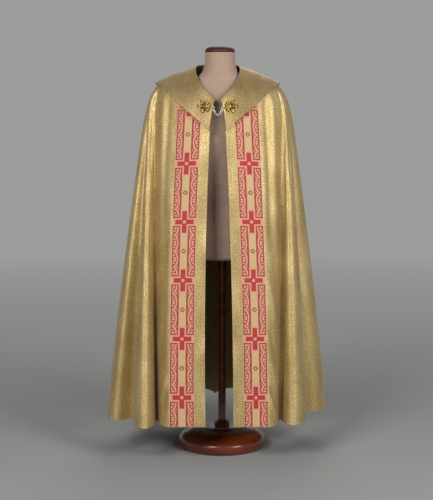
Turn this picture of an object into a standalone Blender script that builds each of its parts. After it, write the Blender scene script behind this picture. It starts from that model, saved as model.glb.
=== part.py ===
"""A cope vestment standing on a limbless dress form, at its real size.

Run it with blender --background --python part.py, or from Blender's text editor.

Units are metres and +Z is up. The floor is z = 0 and the origin is the middle of the base's
underside. The vestment's front faces -Y, so the wearer's right is at -X and the left at +X.

The cope is one sheet. It is read along columns, which run down the cloth from the neckline,
over the collar's edge, to the hem, and which go round the body from the right front edge over
the back to the left front edge. Three curves carry the columns: the neckline, the collar's
edge and the hem. Below the collar each column is a straight fall, with a rounding at the
shoulder, so that each fold starts at the shoulder and opens evenly down to the hem.
"""

import math
from collections import namedtuple

import bmesh
import bpy
import numpy as np
from mathutils import Matrix, Vector
from mathutils.bvhtree import BVHTree

# ---------------------------------------------------------------- driving dimensions

SEAM_GAP = 0.0003
BODY_CLOTH = 0.0015
ORPHREY_CLOTH = 0.0010
COLLAR_CLOTH = 0.0025

HEM_Z = 0.155
CENTRE_X = -0.018  # the cloth hangs a little to the wearer's right of the base
BORDER_WIDTH = 0.042  # plain cloth between a front edge and its orphrey
ORPHREY_WIDTH = 0.096
PANEL_WIDTH = 0.215  # a front panel at the collar's edge, up to its first fold
ORPHREY_UNDER_COLLAR = 0.20  # how far the orphrey runs up below the collar, in collar widths
COLLAR_OVERHANG = 0.004  # the collar's edge goes this far past the body's own points
COLLAR_LIFT = 0.009  # how far its free edge stands off the cloth
FRONT_TIP_LIFT = 0.004  # what the two front tips stand off beyond that
HEM_CLEAR = 0.002  # the orphreys end this far above the hem

SHOULDER_FADE = 0.030  # the share of a fall over which the shoulder's rounding builds up

Point = namedtuple("Point", "name x y z")

# One side of the neckline and of the collar's edge, front to back. x is measured outwards
# from the cloth's centre line, and both sides are alike.
NECKLINE = [
    Point("foot of the V", 0.0125, -0.160, 1.436),
    Point("V, middle", 0.0600, -0.110, 1.484),
    Point("V, top", 0.0815, -0.060, 1.524),
    Point("side of neck", 0.0870, -0.004, 1.560),
    Point("behind the neck", 0.0650, 0.056, 1.570),
    Point("centre back", 0.0000, 0.084, 1.574),
]
COLLAR_EDGE = [
    Point("front tip", 0.0310, -0.170, 1.312),
    Point("orphrey, inner edge", 0.0660, -0.160, 1.346),
    Point("orphrey, outer edge", 0.1580, -0.113, 1.419),
    Point("panel end", 0.2260, -0.046, 1.480),
    Point("shoulder tip", 0.2420, -0.010, 1.490),
    Point("behind the shoulder", 0.2330, 0.050, 1.476),
    Point("shoulder blade", 0.1780, 0.110, 1.428),
    Point("back", 0.0950, 0.142, 1.392),
    Point("centre back", 0.0000, 0.150, 1.380),
]
SHOULDER_CROWN = 0.006  # how far the cloth bows up between the neckline and the collar's edge
# Rows of the two tables: the shoulder's ridge runs from the side of the neck to the tip.
NECK_SIDE = 3
PANEL_END = 3
SHOULDER_TIP = 4

# A side's hem, seen from above. A fold goes from the valley before it, out round its crest,
# and back to its own valley. share is its part of the collar's edge between the panel's end
# and the centre back, and tuck is its depth just below the collar. shoulder_round is how far
# a fall is rounded out below the shoulder, and panel_bow how far the front panel bows outwards
# halfway down.
Panel = namedtuple("Panel", "edge_x edge_y flat_x flat_y end_x end_y")
Fold = namedtuple("Fold", "name share crest_x crest_y valley_x valley_y tuck")
Side = namedtuple("Side", "name sign shoulder_round panel_bow panel folds")

RIGHT_PANEL = Panel(edge_x=0.048, edge_y=-0.304, flat_x=0.190, flat_y=-0.306, end_x=0.242, end_y=-0.185)
LEFT_PANEL = Panel(edge_x=0.061, edge_y=-0.304, flat_x=0.199, flat_y=-0.306, end_x=0.246, end_y=-0.188)
RIGHT_FOLDS = [
    Fold("front fold", 0.10, 0.296, -0.326, 0.343, -0.150, 0.010),
    Fold("side fold", 0.18, 0.453, -0.118, 0.380, 0.150, 0.014),
    Fold("side back fold", 0.20, 0.415, 0.230, 0.285, 0.205, 0.010),
    Fold("back fold", 0.26, 0.300, 0.340, 0.165, 0.262, 0.009),
    Fold("centre back fold", 0.26, 0.120, 0.388, 0.010, 0.275, 0.008),
]
LEFT_FOLDS = [
    Fold("front fold", 0.10, 0.328, -0.256, 0.352, -0.060, 0.010),
    Fold("side fold", 0.18, 0.454, 0.040, 0.376, 0.185, 0.014),
    Fold("side back fold", 0.20, 0.400, 0.250, 0.268, 0.218, 0.010),
    Fold("back fold", 0.26, 0.270, 0.352, 0.140, 0.272, 0.009),
    Fold("centre back fold", 0.26, 0.085, 0.382, -0.010, 0.275, 0.008),
]
RIGHT = Side("right", -1, 0.024, 0.0094, RIGHT_PANEL, RIGHT_FOLDS)
LEFT = Side("left", 1, 0.029, 0.0075, LEFT_PANEL, LEFT_FOLDS)

FOLD_FULLNESS = 0.95  # 0 is a wave, 1 is a half tube with upright sides
FOLD_STEPS = 8
FOLD_INSET = 0.03  # the share of a fold left flat at each side, at the collar's edge
VALLEY_WIDTH = 0.006  # the floor between two folds at the hem
PANEL_FLAT_COLUMNS = (0.0, 0.021, 0.042, 0.066, 0.090, 0.114, 0.138)
PANEL_ROUND_STEPS = 4
PANEL_ROUND_TURN = math.radians(84)

COLLAR_ROWS = (0.0, 0.25, 0.5, 0.75, 1.0)
FALL_ROWS = (0.03, 0.08, 0.16, 0.28, 0.42, 0.58, 0.78, 1.0)

# The dress form. Each ring of the torso is a superellipse.
Ring = namedtuple("Ring", "z half_width half_depth back squareness")
TORSO = [
    Ring(0.790, 0.172, 0.118, 0.000, 2.2),
    Ring(0.800, 0.180, 0.126, 0.000, 2.2),
    Ring(0.880, 0.182, 0.126, 0.002, 2.2),
    Ring(1.020, 0.162, 0.110, 0.000, 2.2),
    Ring(1.160, 0.176, 0.116, -0.004, 2.2),
    Ring(1.290, 0.196, 0.126, -0.006, 2.3),
    Ring(1.380, 0.208, 0.121, -0.002, 2.3),
    Ring(1.430, 0.208, 0.107, 0.001, 2.3),
    Ring(1.462, 0.196, 0.093, 0.002, 2.3),
    Ring(1.485, 0.160, 0.083, 0.003, 2.2),
    Ring(1.505, 0.120, 0.077, 0.003, 2.1),
    Ring(1.524, 0.090, 0.072, 0.002, 2.0),
    Ring(1.542, 0.072, 0.068, 0.002, 2.0),
    Ring(1.562, 0.0650, 0.0650, 0.001, 2.0),
    Ring(1.590, 0.0615, 0.0615, 0.000, 2.0),
    Ring(1.6195, 0.0603, 0.0603, 0.000, 2.0),
]
TORSO_SIDES = 40
NECK_CAP_SIDES = 32
BASE_SIDES = 48
POLE_SIDES = 20
FORM_LEAN = -0.009  # the form's neck stands this far to the wearer's right of the base
LEAN_FROM_Z = 0.790
LEAN_TO_Z = 1.560

NECK_CAP_RADIUS = 0.0600
NECK_CAP_RISE = 0.0250
NECK_CAP_EDGE = 0.004
NECK_CAP_Z = 1.6200
NECK_CAP_STEPS = 5
NECK_CAP_FLATNESS = 0.6  # 1 is a half ellipsoid, less is fuller at the shoulder

POLE_RADIUS = 0.016
BASE_RADIUS = 0.180
BASE_HEIGHT = 0.070
BASE_FOOT_RADIUS = 0.168
BASE_CROWN = 0.008  # how far the base's top is domed
BASE_RIM_STEPS = 8
BASE_TOP_RADIUS = 0.090  # where the dome levels off
BOSS_RADIUS = 0.032
BOSS_HEIGHT = 0.030
BOSS_FILLET = 0.006

# The clasp and its chain.
CLASP_AT = Point("clasp centre", 0.0500, 0.0, 1.4050)  # y comes from the collar
CLASP_WIRE = 0.0024
CLASP_LIFT = 0.0023
Loop = namedtuple("Loop", "name across up width height turn")
CLASP_LOOPS = [
    Loop("outer petal", 0.0180, 0.0000, 0.0256, 0.0155, 0.0),
    Loop("upper outer petal", 0.0085, 0.0150, 0.0210, 0.0155, 56.0),
    Loop("lower outer petal", 0.0085, -0.0150, 0.0210, 0.0155, -56.0),
    Loop("upper inner petal", -0.0090, 0.0105, 0.0200, 0.0140, 124.0),
    Loop("lower inner petal", -0.0090, -0.0105, 0.0200, 0.0140, -124.0),
    Loop("pointed bar", -0.0160, 0.0000, 0.0270, 0.0100, 0.0),
]
CLASP_BOSS = 0.0076
CLASP_BOSS_FLATNESS = 0.42
CHAIN_LINKS = 7
LINK_LENGTH = 0.0158
LINK_WIDTH = 0.0102
LINK_WIRE = 0.0018
CHAIN_TOP_Z = 1.4040
CHAIN_HALF_SPAN = 0.0186
CHAIN_TIGHTNESS = 0.0081  # the radius of the hanging chain's lowest bend
CHAIN_Y = -0.1790

Finish = namedtuple("Finish", "colour roughness metallic")
GOLD_CLOTH = Finish((0.52, 0.40, 0.20), 0.45, 0.35)
ORPHREY_WEAVE = Finish((0.60, 0.28, 0.18), 0.60, 0.0)
GILT = Finish((0.70, 0.52, 0.18), 0.28, 1.0)
SILVER = Finish((0.80, 0.80, 0.80), 0.20, 1.0)
JERSEY = Finish((0.40, 0.29, 0.22), 0.85, 0.0)
MAHOGANY = Finish((0.14, 0.035, 0.015), 0.25, 0.0)


# ---------------------------------------------------------------- curves


def chord_places(points):
    """The share of the whole length, by chords, at which each point lies."""
    steps = np.linalg.norm(np.diff(points, axis=0), axis=1)
    places = np.concatenate([[0.0], np.cumsum(steps)])
    return places / places[-1]


def curve_through(points, places, at):
    """A smooth curve through the points, read at the share `at` of its length."""
    slopes = np.gradient(points, places, axis=0)
    i = int(np.clip(np.searchsorted(places, at) - 1, 0, len(places) - 2))
    span = places[i + 1] - places[i]
    u = (at - places[i]) / span
    return (
        (2 * u**3 - 3 * u**2 + 1) * points[i]
        + (u**3 - 2 * u**2 + u) * span * slopes[i]
        + (3 * u**2 - 2 * u**3) * points[i + 1]
        + (u**3 - u**2) * span * slopes[i + 1]
    )


def mirrored_curve(table):
    """The table's points, run on past the centre back so that the two sides meet smoothly."""
    near = [np.array([p.x, p.y, p.z]) for p in table]
    beyond = [near[-2] * (-1, 1, 1), near[-3] * (-1, 1, 1)]
    return np.array(near + beyond), len(near)


class EdgeCurve:
    """One side of the neckline or of the collar's edge, with x outwards."""

    def __init__(self, table):
        self.points, self.count = mirrored_curve(table)
        self.places = chord_places(self.points)
        self.last = self.places[self.count - 1]

    def station(self, index):
        """The share of this side's length at which the table's row lies."""
        return self.places[index] / self.last

    def at(self, share):
        return curve_through(self.points, self.places, share * self.last)


# ---------------------------------------------------------------- the cloth's columns

# share is along the collar's edge, 0 at the front edge and 1 at the centre back. hem_x and
# hem_y are the column's foot. tuck and arch give the fold just below the collar.
Column = namedtuple("Column", "share hem_x hem_y tuck arch rounding")


def fold_arch(u):
    """How far along and how far out a fold is at u, from 0 at one valley to 1 at the next."""
    along = u - FOLD_FULLNESS * math.sin(2 * math.pi * u) / (2 * math.pi)
    return along, math.sin(math.pi * u)


def panel_columns(side, edge):
    """The flat front, then the rounding back into the first valley."""
    p = side.panel
    orphrey_end = BORDER_WIDTH + ORPHREY_WIDTH
    knots = [edge.station(i) for i in range(PANEL_END + 1)]
    places = [0.0, BORDER_WIDTH, orphrey_end, PANEL_WIDTH]
    columns = []
    for d in PANEL_FLAT_COLUMNS:
        along = d / orphrey_end
        columns.append(
            Column(
                np.interp(d, places, knots),
                p.edge_x + (p.flat_x - p.edge_x) * along,
                p.edge_y + (p.flat_y - p.edge_y) * along,
                0.0,
                0.0,
                0.0,
            )
        )
    for step in range(1, PANEL_ROUND_STEPS + 1):
        u = step / PANEL_ROUND_STEPS
        turn = PANEL_ROUND_TURN * u
        d = orphrey_end + (PANEL_WIDTH - orphrey_end) * u
        columns.append(
            Column(
                np.interp(d, places, knots),
                p.flat_x + (p.end_x - p.flat_x) * math.sin(turn) / math.sin(PANEL_ROUND_TURN),
                p.end_y + (p.flat_y - p.end_y) * (math.cos(turn) - math.cos(PANEL_ROUND_TURN) * u),
                0.0,
                0.0,
                u * u,
            )
        )
    return columns


def fold_columns(side, edge):
    """The columns of every fold from the panel's end to the centre back."""
    start = edge.station(PANEL_END)
    behind_panel = 1 - start
    before = np.array([side.panel.end_x, side.panel.end_y])
    columns = []
    for number, fold in enumerate(side.folds):
        after = np.array([fold.valley_x, fold.valley_y])
        crest = np.array([fold.crest_x, fold.crest_y])
        chord = after - before
        floor = chord / np.linalg.norm(chord) * VALLEY_WIDTH / 2
        first = before + floor
        last_fold = number == len(side.folds) - 1
        last = after if last_fold else after - floor
        reach = crest - (first + last) / 2
        width = fold.share * behind_panel
        for step in range(FOLD_STEPS + 1):
            u = step / FOLD_STEPS
            inset = FOLD_INSET + (1 - 2 * FOLD_INSET) * u
            along, out = fold_arch(u)
            foot = first + (last - first) * along + reach * out
            share = start + width * (1.0 if last_fold and step == FOLD_STEPS else inset)
            columns.append(Column(share, foot[0], foot[1], fold.tuck, out, 1.0))
        start += width
        before = after
    return columns


def side_columns(side):
    edge = EdgeCurve(COLLAR_EDGE)
    return panel_columns(side, edge) + fold_columns(side, edge)


def rounded_fall(t):
    """The share of the shoulder's rounding at the share t of the fall."""
    return (1 - t * t) * (1 - math.exp(-t / SHOULDER_FADE))


def column_point(side, neckline, edge, column, row):
    """A point of the cloth: row -1 to 0 is under the collar, 0 to 1 is the fall to the hem."""
    top = edge.at(column.share)
    if row <= 0:
        shoulder_shares = [0.0, edge.station(SHOULDER_TIP), 1.0]
        neck_shares = [0.0, neckline.station(NECK_SIDE), 1.0]
        neck = neckline.at(np.interp(column.share, shoulder_shares, neck_shares))
        local = neck + (top - neck) * (row + 1)
        local[2] -= SHOULDER_CROWN * 4 * row * (row + 1)
    else:
        foot = np.array([column.hem_x, column.hem_y, HEM_Z])
        outward = np.array([top[0], top[1], 0.0]) / math.hypot(top[0], top[1])
        tuck = column.tuck * column.arch
        bulge = side.shoulder_round * column.rounding + tuck
        local = top + (foot - top) * row + outward * bulge * rounded_fall(row)
        local[0] += side.panel_bow * (1 - column.rounding) * 4 * row * (1 - row)
    return Vector((CENTRE_X + side.sign * local[0], local[1], local[2]))


def side_grid(side, rows):
    """Points of one side, grid[row][column], from the front edge to the centre back."""
    neckline = EdgeCurve(NECKLINE)
    edge = EdgeCurve(COLLAR_EDGE)
    columns = side_columns(side)
    return [[column_point(side, neckline, edge, c, row) for c in columns] for row in rows]


def cloth_grid(rows):
    """Points of the whole cloth, from the right front edge round the back to the left one."""
    right = side_grid(RIGHT, rows)
    left = side_grid(LEFT, rows)
    grid = []
    for right_row, left_row in zip(right, left):
        middle = (right_row[-1] + left_row[-1]) / 2
        grid.append(right_row[:-1] + [middle] + left_row[-2::-1])
    return grid


def grid_normals(grid):
    """The outward direction at each point of a grid."""
    rows, columns = len(grid), len(grid[0])
    normals = []
    for r in range(rows):
        line = []
        for c in range(columns):
            across = grid[r][min(c + 1, columns - 1)] - grid[r][max(c - 1, 0)]
            down = grid[min(r + 1, rows - 1)][c] - grid[max(r - 1, 0)][c]
            line.append(across.cross(down).normalized())
        normals.append(line)
    return normals


def moved_out(grid, normals, distance):
    """The grid moved along its normals by distance(row, column)."""
    return [
        [point + normals[r][c] * distance(r, c) for c, point in enumerate(line)]
        for r, line in enumerate(grid)
    ]


# ---------------------------------------------------------------- making objects


def clear_scene():
    for obj in list(bpy.data.objects):
        bpy.data.objects.remove(obj, do_unlink=True)


def material(name, finish):
    made = bpy.data.materials.get(name)
    if made:
        return made
    made = bpy.data.materials.new(name)
    made.use_nodes = True
    shader = made.node_tree.nodes["Principled BSDF"]
    shader.inputs["Base Color"].default_value = (*finish.colour, 1.0)
    shader.inputs["Roughness"].default_value = finish.roughness
    shader.inputs["Metallic"].default_value = finish.metallic
    made.diffuse_color = (*finish.colour, 1.0)
    return made


def object_from(name, points, faces, surface, smooth_angle=40.0):
    mesh = bpy.data.meshes.new(name)
    mesh.from_pydata([tuple(p) for p in points], [], faces)
    mesh.materials.append(surface)
    mesh.shade_smooth()
    mesh.set_sharp_from_angle(angle=math.radians(smooth_angle))
    obj = bpy.data.objects.new(name, mesh)
    bpy.context.scene.collection.objects.link(obj)
    return obj


def cloth_wall(name, outer, inner, surface):
    """A closed wall between two grids of the same size."""
    rows, columns = len(outer), len(outer[0])
    points = [p for line in outer for p in line] + [p for line in inner for p in line]
    half = rows * columns

    def out(r, c):
        return r * columns + c

    def back(r, c):
        return half + out(r, c)

    faces = []
    for r in range(rows - 1):
        for c in range(columns - 1):
            faces.append((out(r, c), out(r + 1, c), out(r + 1, c + 1), out(r, c + 1)))
            faces.append((back(r, c), back(r, c + 1), back(r + 1, c + 1), back(r + 1, c)))
    for c in range(columns - 1):
        faces.append((out(0, c), out(0, c + 1), back(0, c + 1), back(0, c)))
        faces.append((out(rows - 1, c), back(rows - 1, c), back(rows - 1, c + 1), out(rows - 1, c + 1)))
    for r in range(rows - 1):
        faces.append((out(r, 0), back(r, 0), back(r + 1, 0), out(r + 1, 0)))
        end = columns - 1
        faces.append((out(r, end), out(r + 1, end), back(r + 1, end), back(r, end)))
    faces = [tuple(reversed(face)) for face in faces]
    obj = object_from(name, points, faces, surface)
    fix_normals(obj)
    return obj


def fix_normals(obj):
    work = bmesh.new()
    work.from_mesh(obj.data)
    bmesh.ops.recalc_face_normals(work, faces=work.faces)
    work.to_mesh(obj.data)
    work.free()


def lofted(name, rings, surface, smooth_angle=40.0):
    """A closed solid through rings of points, with a flat cap at each end."""
    count = len(rings[0])
    points = [p for ring in rings for p in ring]
    faces = []
    for r in range(len(rings) - 1):
        for c in range(count):
            n = (c + 1) % count
            low, high = r * count, (r + 1) * count
            faces.append((low + c, low + n, high + n, high + c))
    faces.append(tuple(reversed(range(count))))
    faces.append(tuple(range((len(rings) - 1) * count, len(rings) * count)))
    obj = object_from(name, points, faces, surface, smooth_angle)
    fix_normals(obj)
    return obj


def turned(name, profile, sides, surface):
    """A solid turned about the Z axis from (radius, height) pairs, bottom to top."""
    rings = []
    for radius, z in profile:
        angles = [2 * math.pi * i / sides for i in range(sides)]
        rings.append([Vector((radius * math.cos(a), radius * math.sin(a), z)) for a in angles])
    return lofted(name, rings, surface, 30.0)


# ---------------------------------------------------------------- the vestment


def make_body(grid, normals, surface):
    inner = moved_out(grid, normals, lambda r, c: -BODY_CLOTH)
    return cloth_wall("cope_body", grid, inner, surface)


def make_collar(rows, surface):
    """The collar lies on the cloth at the neckline and stands off it at its free edge."""
    grid = cloth_grid([share - 1 for share in rows])
    normals = grid_normals(grid)
    columns = len(grid[0])
    for c in range(columns):
        run = grid[-1][c] - grid[0][c]
        grid[-1][c] = grid[-1][c] + run.normalized() * COLLAR_OVERHANG

    def lift(r, c):
        share = rows[r]
        from_tip = min(c, columns - 1 - c) / len(PANEL_FLAT_COLUMNS)
        tip = FRONT_TIP_LIFT * max(0.0, 1 - from_tip)
        return SEAM_GAP + COLLAR_LIFT * share**1.5 + tip * share**2

    inner = moved_out(grid, normals, lift)
    outer = moved_out(grid, normals, lambda r, c: lift(r, c) + COLLAR_CLOTH)
    return cloth_wall("collar", outer, inner, surface)


def make_orphrey(side, rows, surface):
    """A band on the flat of one front, made from the cloth's own points."""
    grid = side_grid(side, rows)
    first = PANEL_FLAT_COLUMNS.index(BORDER_WIDTH)
    last = len(PANEL_FLAT_COLUMNS)
    if side.sign > 0:
        grid = [line[::-1] for line in grid]
    normals = grid_normals(grid)
    if side.sign > 0:
        band = slice(len(grid[0]) - last, len(grid[0]) - first)
    else:
        band = slice(first, last)
    grid = [line[band] for line in grid]
    normals = [line[band] for line in normals]
    for c, foot in enumerate(grid[-1]):
        rise = (grid[-2][c] - foot).normalized()
        grid[-1][c] = foot + rise * HEM_CLEAR
    inner = moved_out(grid, normals, lambda r, c: SEAM_GAP)
    outer = moved_out(grid, normals, lambda r, c: SEAM_GAP + ORPHREY_CLOTH)
    return cloth_wall(f"orphrey_{side.name}", outer, inner, surface)


def ring_mesh(name, length, width, wire, around, section):
    """A closed oval ring of round wire in its own XY plane, length along X."""
    points, faces = [], []
    for i in range(around):
        a = 2 * math.pi * i / around
        centre = Vector((math.cos(a) * (length - wire) / 2, math.sin(a) * (width - wire) / 2, 0))
        out = Vector((math.cos(a) * width, math.sin(a) * length, 0)).normalized()
        for j in range(section):
            b = 2 * math.pi * j / section
            points.append(centre + (out * math.cos(b) + Vector((0, 0, math.sin(b)))) * wire / 2)
    for i in range(around):
        for j in range(section):
            n, m = (i + 1) % around, (j + 1) % section
            faces.append((i * section + j, n * section + j, n * section + m, i * section + m))
    mesh = bpy.data.meshes.new(name)
    mesh.from_pydata([tuple(p) for p in points], [], faces)
    return mesh


def joined_by_union(name, meshes, surface):
    """One closed body from overlapping meshes, by exact Boolean unions."""
    first = bpy.data.objects.new(name, meshes[0])
    bpy.context.scene.collection.objects.link(first)
    helpers = []
    for number, mesh in enumerate(meshes[1:]):
        helper = bpy.data.objects.new(f"{name}_part_{number}", mesh)
        bpy.context.scene.collection.objects.link(helper)
        helpers.append(helper)
        union = first.modifiers.new(f"union_{number}", "BOOLEAN")
        union.operation = "UNION"
        union.solver = "EXACT"
        union.object = helper
    bpy.context.view_layer.update()
    done = bpy.data.meshes.new_from_object(first.evaluated_get(bpy.context.evaluated_depsgraph_get()))
    first.modifiers.clear()
    first.data = done
    for helper in helpers:
        bpy.data.objects.remove(helper, do_unlink=True)
    done.materials.clear()
    done.materials.append(surface)
    done.shade_smooth()
    done.set_sharp_from_angle(angle=math.radians(50))
    return first


def clasp_meshes():
    """The clasp's wires and boss in its own plane, X towards the shoulder and Y up."""
    meshes = []
    for number, loop in enumerate(CLASP_LOOPS):
        mesh = ring_mesh(f"loop_{number}", loop.width, loop.height, CLASP_WIRE, 14, 5)
        place = Matrix.Translation((loop.across, loop.up, 0.0))
        mesh.transform(place @ Matrix.Rotation(math.radians(loop.turn), 4, "Z"))
        meshes.append(mesh)
    boss = bmesh.new()
    bmesh.ops.create_uvsphere(boss, u_segments=10, v_segments=5, radius=CLASP_BOSS)
    bmesh.ops.scale(boss, verts=boss.verts, vec=(1.0, 1.0, CLASP_BOSS_FLATNESS))
    mesh = bpy.data.meshes.new("boss")
    boss.to_mesh(mesh)
    boss.free()
    meshes.append(mesh)
    return meshes


def make_clasp(side, collar, surface):
    """A clasp half bent to lie on the collar, clear of it by the seam gap."""
    clasp = joined_by_union(f"clasp_{side.name}", clasp_meshes(), surface)
    collar.data.calc_loop_triangles()
    corners = [t.vertices for t in collar.data.loop_triangles]
    shape = BVHTree.FromPolygons([v.co for v in collar.data.vertices], corners)
    start_y = -1.0
    for vertex in clasp.data.vertices:
        x = CENTRE_X + side.sign * (CLASP_AT.x + vertex.co.x)
        z = CLASP_AT.z + vertex.co.y
        hit, normal, _, _ = shape.ray_cast(Vector((x, start_y, z)), Vector((0, 1, 0)))
        vertex.co = hit + normal * (CLASP_LIFT + CLASP_WIRE / 2 + vertex.co.z)
    if side.sign > 0:
        return clasp
    clasp.data.flip_normals()
    return clasp


def chain_point(length):
    """The chain's centre line at this length from its lowest point: it hangs as a catenary."""
    x = CHAIN_TIGHTNESS * math.asinh(length / CHAIN_TIGHTNESS)
    drop = CHAIN_TIGHTNESS * (math.cosh(CHAIN_HALF_SPAN / CHAIN_TIGHTNESS) - math.cosh(x / CHAIN_TIGHTNESS))
    return Vector((CENTRE_X + x, CHAIN_Y, CHAIN_TOP_Z - drop))


def chain_joints():
    """Where each link meets the next, from the right clasp's eye to the left one's."""
    half = CHAIN_TIGHTNESS * math.sinh(CHAIN_HALF_SPAN / CHAIN_TIGHTNESS)
    return [chain_point(half * (2 * i / CHAIN_LINKS - 1)) for i in range(CHAIN_LINKS + 1)]


def make_chain(surface):
    """Links lie along the chain, each turned a quarter about it from the one before."""
    joints = chain_joints()
    for number, (start, end) in enumerate(zip(joints, joints[1:]), start=1):
        along = (end - start).normalized()
        front = Vector((0, -1, 0))
        across = front.cross(along).normalized()
        lean = math.radians(45 if number % 2 else -45)
        side_axis = across * math.cos(lean) + front * math.sin(lean)
        up_axis = along.cross(side_axis)
        turn = Matrix((along, side_axis, up_axis)).transposed().to_4x4()
        name = f"chain_link_{number}"
        mesh = ring_mesh(name, LINK_LENGTH, LINK_WIDTH, LINK_WIRE, 12, 5)
        mesh.materials.append(surface)
        mesh.shade_smooth()
        link = bpy.data.objects.new(name, mesh)
        link.matrix_world = Matrix.Translation((start + end) / 2) @ turn
        bpy.context.scene.collection.objects.link(link)


# ---------------------------------------------------------------- the dress form


def form_lean(z):
    share = (z - LEAN_FROM_Z) / (LEAN_TO_Z - LEAN_FROM_Z)
    return FORM_LEAN * min(max(share, 0.0), 1.0)


def superellipse(ring):
    points = []
    for i in range(TORSO_SIDES):
        a = 2 * math.pi * i / TORSO_SIDES
        power = 2 / ring.squareness
        x = math.copysign(abs(math.cos(a)) ** power, math.cos(a)) * ring.half_width
        y = math.copysign(abs(math.sin(a)) ** power, math.sin(a)) * ring.half_depth
        points.append(Vector((form_lean(ring.z) + x, ring.back + y, ring.z)))
    return points


def make_torso(surface):
    return lofted("form_torso", [superellipse(ring) for ring in TORSO], surface, 60.0)


def make_neck_cap(surface):
    profile = [(NECK_CAP_RADIUS, 0.0), (NECK_CAP_RADIUS + 0.001, NECK_CAP_EDGE / 2)]
    rise = NECK_CAP_RISE - NECK_CAP_EDGE
    for i in range(NECK_CAP_STEPS):
        a = math.radians(90) * i / NECK_CAP_STEPS
        radius = NECK_CAP_RADIUS * math.cos(a) ** NECK_CAP_FLATNESS
        profile.append((radius, NECK_CAP_EDGE + rise * math.sin(a)))
    cap = turned("form_neck_cap", profile, NECK_CAP_SIDES, surface)
    cap.location = (FORM_LEAN, 0.0, NECK_CAP_Z)
    return cap


def make_base(surface):
    """A turned disc with a full round rim and a slightly domed top with a boss."""
    rim = (BASE_HEIGHT - BASE_CROWN) / 2
    profile = [(BASE_FOOT_RADIUS, 0.0)]
    for i in range(1, BASE_RIM_STEPS + 1):
        a = math.radians(-90 + 180 * i / BASE_RIM_STEPS)
        inset = BASE_RADIUS - BASE_FOOT_RADIUS if a < 0 else rim
        profile.append((BASE_RADIUS - inset + inset * math.cos(a), rim + rim * math.sin(a)))
    profile.append((BASE_TOP_RADIUS, BASE_HEIGHT - 0.001))
    profile.append((BOSS_RADIUS + BOSS_FILLET, BASE_HEIGHT))
    profile.append((BOSS_RADIUS, BASE_HEIGHT + BOSS_FILLET))
    profile.append((BOSS_RADIUS - 0.004, BASE_HEIGHT + BOSS_HEIGHT))
    return turned("form_base", profile, BASE_SIDES, surface)


def make_pole(surface):
    low = BASE_HEIGHT + BOSS_HEIGHT + SEAM_GAP
    high = TORSO[0].z - SEAM_GAP
    return turned("form_pole", [(POLE_RADIUS, low), (POLE_RADIUS, high)], POLE_SIDES, surface)


def main():
    clear_scene()
    gold = material("gold_cloth", GOLD_CLOTH)
    weave = material("orphrey_weave", ORPHREY_WEAVE)
    gilt = material("gilt_metal", GILT)
    silver = material("silver_metal", SILVER)
    jersey = material("jersey", JERSEY)
    mahogany = material("mahogany", MAHOGANY)

    under_collar = [share - 1 for share in COLLAR_ROWS]
    grid = cloth_grid(under_collar + list(FALL_ROWS))
    make_body(grid, grid_normals(grid), gold)
    collar = make_collar(COLLAR_ROWS, gold)
    for side in (RIGHT, LEFT):
        make_orphrey(side, [-ORPHREY_UNDER_COLLAR, 0.0] + list(FALL_ROWS), weave)
        make_clasp(side, collar, gilt)
    make_chain(silver)
    make_torso(jersey)
    make_neck_cap(mahogany)
    make_pole(mahogany)
    make_base(mahogany)


main()
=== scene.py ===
"""Looks of a cope vestment on its dress form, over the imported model.

The cope is one sheet of gold cloth. It is read along columns, which run down from the neckline,
over the collar's edge, to the hem, and which go round from the right front edge over the back
to the left front edge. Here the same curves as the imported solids' carry finer points, on which
the creases, the bands and the trimmings are laid. The vestment's front faces -Y, so the
wearer's right is at -X.
"""

import logging
import math
from dataclasses import dataclass, field
from enum import Enum
from typing import Sequence, Union

import bpy
import numpy as np
from mathutils import Matrix, Vector
from mathutils.bvhtree import BVHTree


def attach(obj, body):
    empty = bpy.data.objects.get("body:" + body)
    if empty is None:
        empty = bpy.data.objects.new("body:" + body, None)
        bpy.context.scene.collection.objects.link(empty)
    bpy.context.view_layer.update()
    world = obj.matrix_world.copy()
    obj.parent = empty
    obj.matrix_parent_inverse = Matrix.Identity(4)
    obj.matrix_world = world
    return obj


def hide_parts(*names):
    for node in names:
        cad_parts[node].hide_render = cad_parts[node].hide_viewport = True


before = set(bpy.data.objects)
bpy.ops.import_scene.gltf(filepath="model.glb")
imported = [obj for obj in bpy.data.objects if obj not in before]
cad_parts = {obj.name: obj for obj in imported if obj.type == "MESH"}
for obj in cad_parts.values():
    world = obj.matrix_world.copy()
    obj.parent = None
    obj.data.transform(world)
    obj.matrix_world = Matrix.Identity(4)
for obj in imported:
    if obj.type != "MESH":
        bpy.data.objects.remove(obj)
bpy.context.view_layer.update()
LOG = logging.getLogger("cope")

Array = np.ndarray
Colour = tuple[float, float, float]
Material = bpy.types.Material
Piece = bpy.types.Object
Socket = bpy.types.NodeSocket

CUT_MAP = "Cut"  # the map of each cloth, in metres along its cut


# ------------------------------------------------------------------ nodes of a finish


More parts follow.
